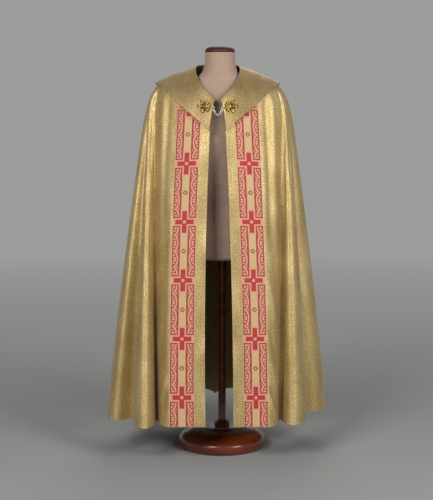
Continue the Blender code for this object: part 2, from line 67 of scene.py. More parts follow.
class Field:
    """One number in a material's nodes, with ordinary arithmetic."""

    def __init__(self, pad: "Nodes", socket: Socket) -> None:
        """Holds the nodes that it is one of and its own output."""
        self.pad = pad
        self.socket = socket

    def __add__(self, other: "Number") -> "Field":
        """This number plus another."""
        return self.pad.math("ADD", self, other)

    def __sub__(self, other: "Number") -> "Field":
        """This number less another."""
        return self.pad.math("SUBTRACT", self, other)

    def __rsub__(self, other: "Number") -> "Field":
        """Another number less this one."""
        return self.pad.math("SUBTRACT", other, self)

    def __mul__(self, other: "Number") -> "Field":
        """This number times another."""
        return self.pad.math("MULTIPLY", self, other)

    def __truediv__(self, other: "Number") -> "Field":
        """This number over another."""
        return self.pad.math("DIVIDE", self, other)

    def below(self, other: "Number") -> "Field":
        """1 where this number is under the other, else 0."""
        return self.pad.math("LESS_THAN", self, other)

    def above(self, other: "Number") -> "Field":
        """1 where this number is over the other, else 0."""
        return self.pad.math("GREATER_THAN", self, other)

    def size(self) -> "Field":
        """This number without its sign."""
        return self.pad.math("ABSOLUTE", self)

    def root(self) -> "Field":
        """The square root of this number, or 0 below 0."""
        return self.pad.math("SQRT", self.pad.math("MAXIMUM", self, 0.0))

    def wave(self) -> "Field":
        """The sine of this number."""
        return self.pad.math("SINE", self)

    def either(self, other: "Number") -> "Field":
        """The larger of the two numbers."""
        return self.pad.math("MAXIMUM", self, other)

    def folded(self, period: float) -> "Field":
        """How far this number is from the nearest whole number of periods."""
        return self.pad.math("PINGPONG", self, period / 2)


Number = Union[Field, float]
Paint = Union[Socket, Colour]


class Nodes:
    """The nodes of one shader tree."""

    def __init__(self, tree: bpy.types.NodeTree) -> None:
        """Holds the tree."""
        self.tree = tree

    def feed(self, socket: Socket, value: Union[Number, Paint]) -> None:
        """Sets a socket to a number or colour, or links a node to it."""
        if isinstance(value, Field):
            value = value.socket
        if isinstance(value, Socket):
            self.tree.links.new(value, socket)
        elif isinstance(value, tuple) and len(value) == 3 and socket.type == "RGBA":
            socket.default_value = (*value, 1.0)
        else:
            socket.default_value = value

    def node(self, kind: str, *values: Union[Number, Paint, None]) -> bpy.types.Node:
        """Adds a node.

        Args:
            kind: its kind, without the ShaderNode before it.
            values: what its first sockets take, None for one left as it is.

        Returns:
            The node.
        """
        node = self.tree.nodes.new(f"ShaderNode{kind}")
        for socket, value in zip(node.inputs, values):
            if value is not None:
                self.feed(socket, value)
        return node

    def math(self, operation: str, first: Number, second: Number = 0.0) -> Field:
        """A Math node's result, for its operation and its one or two numbers."""
        node = self.node("Math", first, second)
        node.operation = operation
        return Field(self, node.outputs[0])

    def parts(self, at: Socket) -> tuple[Field, Field, Field]:
        """The three numbers of a vector."""
        return tuple(Field(self, socket) for socket in self.node("SeparateXYZ", at).outputs)

    def place(self, stretch: tuple[float, float, float] = (1.0, 1.0, 1.0)) -> Socket:
        """The point's own place in metres, times a stretch along each axis."""
        scale = self.node("Mapping", self.node("TexCoord").outputs["Object"])
        scale.inputs["Scale"].default_value = stretch
        return scale.outputs["Vector"]

    def vector(self, x: Number, y: Number, z: Number = 0.0) -> Socket:
        """Three numbers as one vector."""
        return self.node("CombineXYZ", x, y, z).outputs[0]

    def noise(self, at: Socket, scale: float, detail: float = 2.0, rough: float = 0.5) -> Field:
        """A Noise Texture, from 0 to 1 about 0.5.

        Args:
            at: the vector that it is read at.
            scale: how many of its grains there are to a unit of the vector.
            detail: its finer layers.
            rough: how strong they are.

        Returns:
            Its grey value.
        """
        node = self.node("TexNoise", at)
        for name, value in (("Scale", scale), ("Detail", detail), ("Roughness", rough)):
            node.inputs[name].default_value = value
        return Field(self, node.outputs["Fac"])

    def mix(self, share: Number, first: Paint, second: Paint) -> Socket:
        """A colour between two others, the second at a share of 1."""
        node = self.node("Mix", share)
        node.data_type = "RGBA"
        self.feed(node.inputs[6], first)
        self.feed(node.inputs[7], second)
        return node.outputs[2]

    def spread(self, value: Field, low: float, high: float) -> Field:
        """The value stretched so that low becomes 0 and high 1, and held between them."""
        return Field(self, self.node("MapRange", value, low, high).outputs[0])


class Pad(Nodes):
    """The nodes of one material, with a Principled shader at their end."""

    def __init__(self, name: str) -> None:
        """Makes the material of that name and its shader."""
        self.material = bpy.data.materials.new(name)
        self.material.use_nodes = True
        super().__init__(self.material.node_tree)
        self.tree.nodes.clear()
        output = self.node("OutputMaterial")
        self.shader = self.node("BsdfPrincipled")
        self.feed(output.inputs["Surface"], self.shader.outputs["BSDF"])

    def set(self, **values: Union[Number, Paint]) -> None:
        """Sets the shader's sockets, named with _ for each space."""
        for name, value in values.items():
            self.feed(self.shader.inputs[name.replace("_", " ")], value)

    def uv(self) -> tuple[Field, Field]:
        """The two numbers of the piece's own map, in metres."""
        node = self.node("UVMap")
        node.uv_map = CUT_MAP
        return self.parts(node.outputs["UV"])[:2]

    def bump(self, height: Field, depth: float, strength: float = 1.0) -> None:
        """Gives the shader a bump of this height, where 1 stands for a depth in metres."""
        node = self.node("Bump")
        for name, value in (("Strength", strength), ("Distance", depth), ("Height", height)):
            self.feed(node.inputs[name], value)
        self.set(Normal=node.outputs["Normal"])


def from_screen(red: int, green: int, blue: int) -> Colour:
    """A colour on a screen, 0 to 255, as the linear numbers that a shader takes."""
    parts = [value / 255 for value in (red, green, blue)]
    return tuple(p / 12.92 if p <= 0.04045 else ((p + 0.055) / 1.055) ** 2.4 for p in parts)


class Face(Enum):
    """The two faces of a woven cloth."""

    RIGHT_SIDE = "right_side"
    REVERSE = "reverse"


@dataclass(frozen=True)
class GoldLame:
    """Gold lame brocade: flat metal weft over a dull ground, mottled in short flecks."""

    name: str = "gold_lame"
    face: Face = Face.RIGHT_SIDE
    light: Colour = from_screen(250, 229, 170)
    middle: Colour = from_screen(208, 181, 122)
    deep: Colour = from_screen(142, 114, 64)
    fleck_length: float = 0.0066
    fleck_height: float = 0.0036
    reverse: Colour = from_screen(128, 108, 68)
    reverse_share: float = 0.62
    reverse_metal: float = 0.55
    weft_pitch: float = 0.0011
    stitch_from_edge: float = 0.016
    stitch_length: float = 0.0032
    stitch_half: float = 0.0005
    stitch_gap: float = -0.35
    metallic: float = 0.60
    roughness: float = 0.44

    def made(self) -> Material:
        """Lays out the finish's nodes.

        Returns:
            The material.
        """
        pad = Pad(self.name)
        across, up = pad.uv()
        grain = pad.vector(across / self.fleck_length, up / self.fleck_height)
        flecks = pad.noise(grain, 1.0, 4.0, 0.70)
        slubs = pad.noise(pad.vector(across / 0.05, up / 0.0016), 1.0, 2.0, 0.6)
        cloud = pad.noise(pad.place((1.0, 1.0, 0.45)), 16.0, 2.0, 0.5)
        weft = (up * (2 * math.pi / self.weft_pitch)).wave() * 0.5 + 0.5
        warp = (across * (2 * math.pi / (self.weft_pitch * 1.3))).wave() * 0.5 + 0.5
        shine = pad.spread(flecks * 0.66 + slubs * 0.16 + cloud * 0.18, 0.30, 0.70)
        stitch = self.stitching(pad, across, up)
        ground = pad.mix(shine, self.deep, self.middle)
        thread = pad.mix(pad.spread(shine, 0.45, 1.0), ground, self.light)
        dulling = 1.0
        if self.face is Face.REVERSE:
            dulling = self.reverse_metal
            thread = pad.mix(self.reverse_share, thread, self.reverse)
        pad.set(
            Base_Color=pad.mix(stitch * 0.5, thread, self.deep),
            Metallic=(shine * 0.25 + (self.metallic - 0.12)) * dulling,
            Roughness=(1.0 - shine) * 0.16 + self.roughness,
            Sheen_Weight=0.15,
            Sheen_Roughness=0.5,
        )
        relief = flecks * 0.75 + weft * 0.10 + warp * 0.05 + slubs * 0.2 - stitch * 0.5
        pad.bump(relief, 0.0008, 0.45)
        return pad.material

    def stitching(self, pad: Pad, across: Field, up: Field) -> Field:
        """Where the thread of a turned hem and of the front edges' turnings dips in."""
        rows = []
        for from_edge, along in ((up, across), (across, up)):
            line = (from_edge - self.stitch_from_edge).size().below(self.stitch_half)
            gaps = (along * (2 * math.pi / self.stitch_length)).wave().above(self.stitch_gap)
            rows.append(line * gaps)
        return rows[0].either(rows[1])


@dataclass(frozen=True)
class FiguredWeave:
    """The orphrey: red crosses on a sandy gold bar between two columns of vine."""

    name: str = "figured_weave"
    width: float = 0.096
    repeat: float = 0.230
    first_cross: float = 0.1143
    red: Colour = from_screen(178, 19, 36)
    line: Colour = from_screen(150, 30, 34)
    pink: Colour = from_screen(220, 152, 124)
    sand: Colour = from_screen(206, 173, 122)
    selvage: Colour = from_screen(218, 176, 132)
    arm: float = 0.0362
    arm_half: float = 0.0090
    post: float = 0.0430
    post_half: float = 0.0093
    outline: float = 0.0065
    dot: float = 0.0066
    bar_half: float = 0.0128
    column_in: float = 0.0146
    column_out: float = 0.0456
    frame_line: float = 0.0042
    cusp_pitch: float = 0.0635
    stem_half: float = 0.0026
    stem_line: float = 0.0034
    near_ray: float = 0.0085
    far_ray: float = 0.0225
    bud: float = 0.0062
    ring_out: float = 0.0094
    ring_in: float = 0.0050
    plain_end: float = 0.020

    def made(self) -> Material:
        """Lays out the finish's nodes.

        Returns:
            The material.
        """
        pad = Pad(self.name)
        across, along = pad.uv()
        shake = pad.noise(pad.vector(across, along), 900.0, 1.0) - 0.5
        x = (across - self.width / 2).size() + shake * 0.0007
        y = (along - self.first_cross).folded(self.repeat) + shake * 0.0007
        colour = self.column(pad, x, y)
        colour = self.bar(pad, x, y, along.above(self.plain_end), colour)
        colour = self.cross(pad, x, y, colour)
        edge = x.above(self.column_out)
        colour = pad.mix(edge, colour, self.selvage)
        ribs = (along * (2 * math.pi / 0.0012)).wave() * 0.5 + 0.5
        warp = (across * (2 * math.pi / 0.0009)).wave() * 0.5 + 0.5
        fluff = pad.noise(pad.vector(across, along), 420.0, 3.0, 0.7)
        worn = pad.spread(fluff, 0.38, 0.72)
        colour = pad.mix(worn * 0.14, colour, self.sand)
        pad.set(
            Base_Color=pad.mix(ribs * warp * 0.14, colour, (0.05, 0.02, 0.015)),
            Roughness=worn * 0.15 + 0.52,
            Metallic=0.06,
            Sheen_Weight=0.15,
            Sheen_Roughness=0.4,
        )
        pad.bump(ribs * 0.35 + warp * 0.25 + fluff * 0.6, 0.0005, 0.6)
        return pad.material

    def column(self, pad: Pad, x: Field, y: Field) -> Socket:
        """One of the two side columns: a vine in arcs, with lobes outside it and buds inside.

        Args:
            pad: the material's nodes.
            x: how far the point is from the band's middle line.
            y: how far it is along the band from the nearest cross's centre.

        Returns:
            The column's colour.
        """
        half = self.cusp_pitch / 2
        middle = self.repeat / 2 - half
        arc = (y - middle).folded(self.cusp_pitch)
        outer = self.column_out - self.frame_line
        reach = outer - self.column_in - self.frame_line
        rise = (1.0 - (arc / half) * (arc / half)).root()
        vine = outer - rise * (reach * 0.80)
        gap = (x - vine).size()
        slope = (arc / half) * 0.9 + 1.0
        stem = gap.below(slope * self.stem_half)
        stem_edge = gap.below(slope * self.stem_half + self.stem_line)
        lobe = x.above(vine)
        inwards = outer - x
        near_ray = (arc * 1.0 - inwards * 0.40 - self.near_ray).size().below(0.0021)
        rays = near_ray.either((arc - self.far_ray + inwards * 0.35).size().below(0.0019))
        heart = (inwards / 0.0085 + arc / 0.0032).below(1.0)
        colour = pad.mix(lobe, self.line, self.pink)
        colour = pad.mix(lobe * rays, colour, self.line)
        colour = pad.mix(lobe * heart, colour, self.line)
        from_cusp = half - arc
        bud_x = self.column_in + self.frame_line + self.bud
        bud = (x - bud_x).size() / 0.0040 + from_cusp / self.bud
        leaf = (x - (bud_x - 0.001)).size() / 0.0085 + from_cusp / 0.0145
        inside = 1.0 - lobe
        colour = pad.mix(inside * leaf.below(1.0) * leaf.above(0.74), colour, self.pink)
        colour = pad.mix(inside * bud.below(1.0), colour, self.pink)
        colour = pad.mix(stem_edge, colour, self.line)
        colour = pad.mix(stem, colour, self.pink)
        framed = x.above(outer).either(x.below(self.column_in + self.frame_line))
        closing = y.below(self.arm_half + self.outline + self.frame_line)
        return pad.mix(framed.either(closing), colour, self.line)

    def bar(self, pad: Pad, x: Field, y: Field, ringed: Field, colour: Paint) -> Socket:
        """The plain bar between two crosses, with a small ring in its middle.

        Args:
            pad: the material's nodes.
            x: how far the point is from the band's middle line.
            y: how far it is along the band from the nearest cross's centre.
            ringed: 1 where the bar may carry a ring, 0 at the band's plain end.
            colour: what the bar lies on.

        Returns:
            The colour with the bar on it.
        """
        colour = pad.mix(x.below(self.column_in), colour, self.pink)
        colour = pad.mix(x.below(self.bar_half), colour, self.sand)
        to_middle = self.repeat / 2 - y
        round_way = (x * x + to_middle * to_middle).root()
        square_way = x + to_middle
        ring = round_way * 0.55 + square_way * 0.42
        colour = pad.mix(ring.below(self.ring_out) * ringed, colour, self.line)
        return pad.mix(ring.below(self.ring_in) * ringed, colour, self.pink)

    def cross(self, pad: Pad, x: Field, y: Field, colour: Paint) -> Socket:
        """The red cross, its pink outline and its centre dot.

        Args:
            pad: the material's nodes.
            x: how far the point is from the band's middle line.
            y: how far it is along the band from the nearest cross's centre.
            colour: what the cross lies on.

        Returns:
            The colour with the cross on it.
        """

        def shape(grow: float) -> Field:
            """The cross, with each edge moved out by grow."""
            beam = x.below(self.arm + grow) * y.below(self.arm_half + grow)
            post = x.below(self.post_half + grow) * y.below(self.post + grow)
            return beam.either(post)

        colour = pad.mix(y.below(self.arm_half + self.outline), colour, self.pink)
        colour = pad.mix(shape(self.outline), colour, self.pink)
        colour = pad.mix(shape(0.0), colour, self.red)
        dot = (x * x + y * y).root().below(self.dot)
        return pad.mix(dot, colour, self.pink)


@dataclass(frozen=True)
class Metal:
    """A polished or darkened metal with fine hammering."""

    name: str
    colour: Colour
    shade: Colour
    roughness: float
    grain: float = 700.0
    depth: float = 0.0002
    metallic: float = 1.0

    def made(self) -> Material:
        """Lays out the finish's nodes and returns the material."""
        pad = Pad(self.name)
        wear = pad.noise(pad.place(), self.grain, 3.0, 0.6)
        tone = pad.spread(wear, 0.35, 0.62)
        pad.set(
            Base_Color=pad.mix(tone, self.shade, self.colour),
            Metallic=self.metallic,
            Roughness=(1.0 - tone) * 0.14 + self.roughness,
        )
        pad.bump(wear, self.depth, 0.35)
        return pad.material


@dataclass(frozen=True)
class Jersey:
    """Knitted tan jersey stretched over padding."""

    name: str = "tan_jersey"
    colour: Colour = from_screen(184, 156, 136)
    shade: Colour = from_screen(150, 122, 104)
    stitch: float = 0.0018

    def made(self) -> Material:
        """Lays out the finish's nodes and returns the material."""
        pad = Pad(self.name)
        across, up = pad.uv()
        wale = across.folded(self.stitch)
        slant = (up + wale * 1.1).folded(self.stitch * 0.8)
        loops = slant / (self.stitch * 0.4) * 0.6 + wale / (self.stitch * 0.5) * 0.4
        cloud = pad.noise(pad.place(), 38.0, 3.0, 0.55)
        tone = pad.spread(cloud * 0.5 + loops * 0.5, 0.2, 0.85)
        pad.set(
            Base_Color=pad.mix(tone, self.shade, self.colour),
            Roughness=loops * 0.1 + 0.72,
            Sheen_Weight=0.25,
            Sheen_Roughness=0.5,
        )
        pad.bump(loops * 0.5 + cloud * 0.5, 0.0006, 0.5)
        return pad.material


@dataclass(frozen=True)
class Mahogany:
    """Red brown wood under a gloss varnish."""

    name: str = "varnished_mahogany"
    light: Colour = from_screen(136, 58, 26)
    deep: Colour = from_screen(62, 18, 8)
    pores: float = 1.0
    varnish: float = 0.60
    roughness: float = 0.30

    def made(self) -> Material:
        """Lays out the finish's nodes and returns the material."""
        pad = Pad(self.name)
        bands = pad.noise(pad.place((3.0, 22.0, 34.0)), 1.6, 4.0, 0.55)
        fibre = pad.noise(pad.place((24.0, 420.0, 420.0)), 1.0, 3.0, 0.6)
        figure = pad.noise(pad.place((1.0, 1.0, 1.0)), 7.0, 2.0, 0.5)
        tone = pad.spread(bands * 0.6 + fibre * 0.2 + figure * 0.2, 0.34, 0.64)
        pore = pad.spread(fibre, 0.60, 0.72)
        wood = pad.mix(tone, self.deep, self.light)
        pad.set(
            Base_Color=pad.mix(pore * (0.5 * self.pores), wood, (0.012, 0.003, 0.001)),
            Roughness=pore * 0.12 + self.roughness,
            Coat_Weight=self.varnish,
            Coat_Roughness=0.09,
        )
        pad.bump(1.0 - pore, 0.0001, 0.25)
        return pad.material


# ------------------------------------------------------------------ lines and grids


def turns(count: int) -> Array:
    """Even steps of one whole turn, in radians."""
    return np.arange(count) * 2 * math.pi / count


def oval(count: int, length: float, width: float) -> Array:
    """The points of an oval in the XY plane about the origin.

    Args:
        count: how many points it has.
        length: its size along X.
        width: its size along Y.

    Returns:
        The points, one row each.
    """
    a = turns(count)
    return np.stack([np.cos(a) * length / 2, np.sin(a) * width / 2, a * 0], axis=1)


def unit(vectors: Array) -> Array:
    """The vectors, each brought to a length of 1."""
    return vectors / np.maximum(np.linalg.norm(vectors, axis=-1, keepdims=True), 1e-12)


def cubic(u: Array, span: Array, start: Array, leave: Array, end: Array, arrive: Array) -> Array:
    """A smooth run from one value to the next.

    Args:
        u: how far along the run, 0 to 1.
        span: the run's length.
        start: the value at its start.
        leave: the slope there.
        end: the value at its end.
        arrive: the slope there.

    Returns:
        The values at u.
    """
    return (
        (2 * u**3 - 3 * u**2 + 1) * start
        + (u**3 - 2 * u**2 + u) * span * leave
        + (3 * u**2 - 2 * u**3) * end
        + (u**3 - u**2) * span * arrive
    )


def grid_normals(grid: Array) -> Array:
    """The outward direction at each point of a grid of points, rows by columns."""
    return unit(np.cross(np.gradient(grid, axis=1), np.gradient(grid, axis=0)))


def across_rows(grid: Array) -> Array:
    """The way along each row of a grid from its first point, in metres."""
    steps = np.linalg.norm(np.diff(grid, axis=1), axis=2)
    return np.concatenate([np.zeros((len(grid), 1)), np.cumsum(steps, axis=1)], axis=1)


def down_columns(grid: Array) -> Array:
    """The way up each column of a grid from its last point, in metres."""
    return across_rows(grid[::-1].transpose(1, 0, 2)).T[::-1]


def joined(halves: Sequence[Array]) -> Array:
    """The right and left sides' grids as one, which share one column at the centre back."""
    right, left = halves
    middle = (right[:, -1:] + left[:, -1:]) / 2
    return np.concatenate([right[:, :-1], middle, left[:, -2::-1]], axis=1)


# ------------------------------------------------------------------ meshes


@dataclass
class Pile:
    """Points and faces gathered for one mesh, each face with the number of its finish."""

    points: list[Array] = field(default_factory=list)
    faces: list[tuple[int, ...]] = field(default_factory=list)
    finishes: list[int] = field(default_factory=list)
    count: int = 0

    def add(self, points: Array, faces: Sequence[Sequence[int]], finish: int = 0) -> None:
        """Adds a closed form.

        Args:
            points: its points, one row each.
            faces: its faces, as numbers of its own points.
            finish: which of the mesh's materials it has.
        """
        self.points.append(np.asarray(points, float))
        self.faces += [tuple(int(i) + self.count for i in face) for face in faces]
        self.finishes += [finish] * len(faces)
        self.count += len(points)

    def tube(
        self,
        path: Array,
        radius: Union[float, Array],
        closed: bool,
        finish: int = 0,
        sides: int = 6,
    ) -> None:
        """Adds a round wire along a path.

        Args:
            path: the middle line's points.
            radius: the wire's radius, one number or one for each point.
            closed: whether the path's end meets its start.
            finish: which of the mesh's materials it has.
            sides: how many sides the wire has.
        """
        count = len(path)
        if closed:
            way = unit(np.roll(path, -1, axis=0) - np.roll(path, 1, axis=0))
        else:
            way = unit(np.gradient(path, axis=0))
        across = unit(np.cross(way, (0.0, 0.0, 1.0)))
        over = np.cross(across, way)[:, None, :]
        turn = turns(sides)[None, :, None]
        size = np.broadcast_to(np.asarray(radius, float), (count,))[:, None, None]
        ring = np.cos(turn) * across[:, None, :] + np.sin(turn) * over
        points = (path[:, None, :] + ring * size).reshape(-1, 3)
        faces: list[tuple[int, ...]] = []
        for i in range(count if closed else count - 1):
            n = (i + 1) % count
            for j in range(sides):
                m = (j + 1) % sides
                faces.append((i * sides + j, i * sides + m, n * sides + m, n * sides + j))
        if not closed:
            faces.append(tuple(reversed(range(sides))))
            faces.append(tuple(range((count - 1) * sides, count * sides)))
        self.add(points, [face[::-1] for face in faces], finish)

    def ball(self, centre: Sequence[float], radius: float, flat: float = 1.0) -> None:
        """Adds a small ball of the first finish, pressed along Z where flat is under 1."""
        rings, sides = 5, 8
        points = [(0.0, 0.0, -1.0)]
        for i in range(1, rings):
            a = -math.pi / 2 + math.pi * i / rings
            points += [
                (math.cos(a) * math.cos(b), math.cos(a) * math.sin(b), math.sin(a))
                for b in turns(sides)
            ]
        points.append((0.0, 0.0, 1.0))
        faces: list[tuple[int, ...]] = []
        for j in range(sides):
            m = (j + 1) % sides
            faces.append((0, 1 + m, 1 + j))
            for i in range(rings - 2):
                low, high = 1 + i * sides, 1 + (i + 1) * sides
                faces.append((low + j, low + m, high + m, high + j))
            top = len(points) - 1
            faces.append((top, top - sides + j, top - sides + m))
        self.add(np.array(points) * (radius, radius, radius * flat) + centre, faces)

    def mesh(self, name: str, materials: Sequence[Material]) -> Piece:
        """Makes the object.

        Args:
            name: the object's name.
            materials: its finishes, in the order of their numbers.

        Returns:
            The object, linked to the scene.
        """
        return mesh_object(name, np.vstack(self.points), self.faces, materials, self.finishes)


def mesh_object(
    name: str,
    points: Array,
    faces: Sequence[Sequence[int]],
    materials: Sequence[Material],
    finishes: Sequence[int] = (),
    cut: Union[Array, None] = None,
    smooth_angle: float = 50.0,
) -> Piece:
    """Makes a mesh object with smooth shading.

    Args:
        name: the object's name.
        points: its points, one row each.
        faces: its faces.
        materials: its finishes.
        finishes: the number of each face's finish, or nothing for the first.
        cut: the map of each point, in metres, or None for no map.
        smooth_angle: edges sharper than this stay sharp, in degrees.

    Returns:
        The object, linked to the scene.
    """
    mesh = bpy.data.meshes.new(name)
    mesh.from_pydata(np.asarray(points).tolist(), [], [tuple(face) for face in faces])
    for material in materials:
        mesh.materials.append(material)
    if len(finishes):
        mesh.polygons.foreach_set("material_index", np.asarray(finishes, np.int32))
    if cut is not None:
        corners = np.empty(len(mesh.loops), np.int32)
        mesh.loops.foreach_get("vertex_index", corners)
        layer = mesh.uv_layers.new(name=CUT_MAP)
        layer.data.foreach_set("uv", np.asarray(cut, np.float32)[corners].ravel())
    mesh.shade_smooth()
    mesh.set_sharp_from_angle(angle=math.radians(smooth_angle))
    mesh.update()
    obj = bpy.data.objects.new(name, mesh)
    bpy.context.scene.collection.objects.link(obj)
    return obj


def set_in(piece: Piece, node: str) -> Piece:
    """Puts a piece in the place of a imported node.

    Args:
        piece: the piece.
        node: the node that it stands for.

    Returns:
        The piece.
    """
    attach(piece, "root")
    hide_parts(node)
    return piece


def shell(
    name: str,
    outer: Array,
    inner: Array,
    cut: Array,
    materials: Sequence[Material],
    rim: float,
) -> Piece:
    """A thin closed wall between two grids, with its rims rounded.

    Args:
        name: the object's name.
        outer: the outer face's points, rows by columns.
        inner: the inner face's points.
        cut: the map of the points, in metres.
        materials: the finish of the outer face and, where there are two, of the inner one.
        rim: how far the rims are rounded, in metres.

    Returns:
        The object, linked to the scene.
    """
    rows, columns = outer.shape[:2]
    number = np.arange(rows * columns).reshape(rows, columns)
    half = rows * columns
    a, b, c, d = number[:-1, :-1], number[1:, :-1], number[1:, 1:], number[:-1, 1:]
    out = np.stack([a, d, c, b], axis=-1).reshape(-1, 4)
    back = np.stack([a, b, c, d], axis=-1).reshape(-1, 4) + half
    rims = []
    for line in (number[0][::-1], number[-1], number[:, 0], number[::-1, -1]):
        rims.append(np.stack([line[:-1], line[1:], line[1:] + half, line[:-1] + half], axis=-1))
    faces = np.vstack([out, back, *rims])
    finishes = np.zeros(len(faces), np.int32)
    if len(materials) > 1:
        finishes[len(out) : len(out) + len(back)] = 1
    points = np.vstack([outer.reshape(-1, 3), inner.reshape(-1, 3)])
    cuts = np.vstack([cut.reshape(-1, 2)] * 2)
    obj = mesh_object(name, points, faces.tolist(), materials, finishes, cuts)
    bevel = obj.modifiers.new("rolled_rim", "BEVEL")
    bevel.width = rim
    bevel.segments = 2
    bevel.limit_method = "ANGLE"
    bevel.angle_limit = math.radians(55)
    return obj


# ------------------------------------------------------------------ the cloth's form


@dataclass(frozen=True)
class Fold:
    """A fold of the fall, seen from above: out round its crest and back to its valley."""

    share: float
    crest: tuple[float, float]
    valley: tuple[float, float]
    tuck: float


@dataclass(frozen=True)
class Panel:
    """A front panel's foot: its edge, the end of its flat and the end of its rounding."""

    edge: tuple[float, float]
    flat: tuple[float, float]
    end: tuple[float, float]


class Hand(Enum):
    """A side of the wearer, as the sign of its X."""

    RIGHT = -1
    LEFT = 1


@dataclass(frozen=True)
class Crease:
    """A soft trough or ridge, from one place on the cloth to another.

    A place is how far round the hem from the front edge its column stands, in metres, and the
    share of the fall from the collar's edge.
    """

    start: tuple[float, float]
    end: tuple[float, float]
    rise: float
    width: float
    bow: float = 0.0


@dataclass(frozen=True)
class Side:
    """One side of the cope, with x measured outwards from the cloth's centre line.

    Its folds go from the front one over the side, side back and back ones to the centre back.
    """

    hand: Hand
    shoulder_round: float
    panel_bow: float
    panel: Panel
    folds: tuple[Fold, ...]
    creases: tuple[Crease, ...]
    seed: int


RIGHT = Side(
    hand=Hand.RIGHT,
    shoulder_round=0.024,
    panel_bow=0.0094,
    panel=Panel((0.048, -0.304), (0.190, -0.306), (0.242, -0.185)),
    folds=(
        Fold(0.10, (0.296, -0.326), (0.343, -0.150), 0.010),
        Fold(0.18, (0.453, -0.118), (0.380, 0.150), 0.014),
        Fold(0.20, (0.415, 0.230), (0.285, 0.205), 0.010),
        Fold(0.26, (0.300, 0.340), (0.165, 0.262), 0.009),
        Fold(0.26, (0.120, 0.388), (0.010, 0.275), 0.008),
    ),
    creases=(
        Crease((0.182, 0.00), (0.180, 0.56), -0.0030, 0.014, 0.004),
        Crease((0.224, 0.00), (0.222, 0.50), 0.0030, 0.015),
        Crease((0.150, 0.28), (0.158, 0.95), 0.0022, 0.012),
        Crease((0.146, 0.885), (0.188, 0.970), -0.0085, 0.0075, 0.004),
        Crease((0.150, 0.850), (0.205, 0.955), 0.0062, 0.009, 0.004),
        Crease((0.150, 0.925), (0.182, 0.992), -0.0058, 0.006),
        Crease((0.330, 0.00), (0.335, 0.20), -0.0040, 0.007),
        Crease((0.400, 0.00), (0.395, 0.30), -0.0042, 0.008),
        Crease((0.470, 0.01), (0.480, 0.44), 0.0035, 0.010),
        Crease((0.520, 0.10), (0.500, 0.72), -0.0036, 0.014),
    ),
    seed=11,
)
LEFT = Side(
    hand=Hand.LEFT,
    shoulder_round=0.029,
    panel_bow=0.0075,
    panel=Panel((0.061, -0.304), (0.199, -0.306), (0.246, -0.188)),
    folds=(
        Fold(0.10, (0.328, -0.256), (0.352, -0.060), 0.010),
        Fold(0.18, (0.454, 0.040), (0.376, 0.185), 0.014),
        Fold(0.20, (0.400, 0.250), (0.268, 0.218), 0.010),
        Fold(0.26, (0.270, 0.352), (0.140, 0.272), 0.009),
        Fold(0.26, (0.085, 0.382), (-0.010, 0.275), 0.008),
    ),
    creases=(
        Crease((0.170, 0.00), (0.168, 0.52), -0.0042, 0.014, 0.003),
        Crease((0.212, 0.00), (0.214, 0.62), 0.0036, 0.014),
        Crease((0.148, 0.55), (0.190, 0.70), 0.0026, 0.010, 0.004),
        Crease((0.146, 0.70), (0.196, 0.84), -0.0046, 0.009, 0.004),
        Crease((0.146, 0.80), (0.200, 0.91), 0.0050, 0.009, 0.004),
        Crease((0.144, 0.870), (0.198, 0.975), -0.0080, 0.0080, 0.003),
        Crease((0.148, 0.910), (0.190, 0.992), 0.0045, 0.007),
        Crease((0.276, 0.10), (0.278, 1.40), -0.0100, 0.012),
        Crease((0.262, 0.30), (0.262, 1.40), 0.0050, 0.009),
        Crease((0.320, 0.00), (0.330, 0.22), -0.0044, 0.007),
        Crease((0.410, 0.00), (0.405, 0.34), -0.0040, 0.008),
        Crease((0.350, 0.30), (0.352, 0.92), 0.0026, 0.012),
        Crease((0.500, 0.06), (0.510, 0.66), -0.0038, 0.013),
    ),
    seed=23,
)


class EdgeCurve:
    """One side of the neckline or of the collar's edge, with x outwards."""

    def __init__(self, rows: Sequence[tuple[float, float, float]]) -> None:
        """Runs a smooth curve through the rows and on past the centre back.

        Args:
            rows: its points, from the front edge to the centre back.
        """
        near = np.array(rows, float)
        self.points = np.vstack([near, near[[-2, -3]] * (-1.0, 1.0, 1.0)])
        steps = np.linalg.norm(np.diff(self.points, axis=0), axis=1)
        places = np.concatenate([[0.0], np.cumsum(steps)])
        self.places = places / places[-1]
        self.last = self.places[len(near) - 1]
        self.slopes = np.gradient(self.points, self.places, axis=0)

    def station(self, index: int) -> float:
        """The share of this side's length at which one of its rows lies."""
        return float(self.places[index] / self.last)

    def at(self, shares: Array) -> Array:
        """The curve's points at shares of this side's length."""
        where = np.asarray(shares, float) * self.last
        i = np.clip(np.searchsorted(self.places, where) - 1, 0, len(self.places) - 2)
        span = (self.places[i + 1] - self.places[i])[:, None]
        u = (where - self.places[i])[:, None] / span
        ends, slopes = self.points, self.slopes
        return cubic(u, span, ends[i], slopes[i], ends[i + 1], slopes[i + 1])


@dataclass
class Columns:
    """The columns of one side: share along the collar's edge, foot, and shape below it."""

    share: Array
    foot: Array
    tuck: Array
    rounding: Array
    way: Array


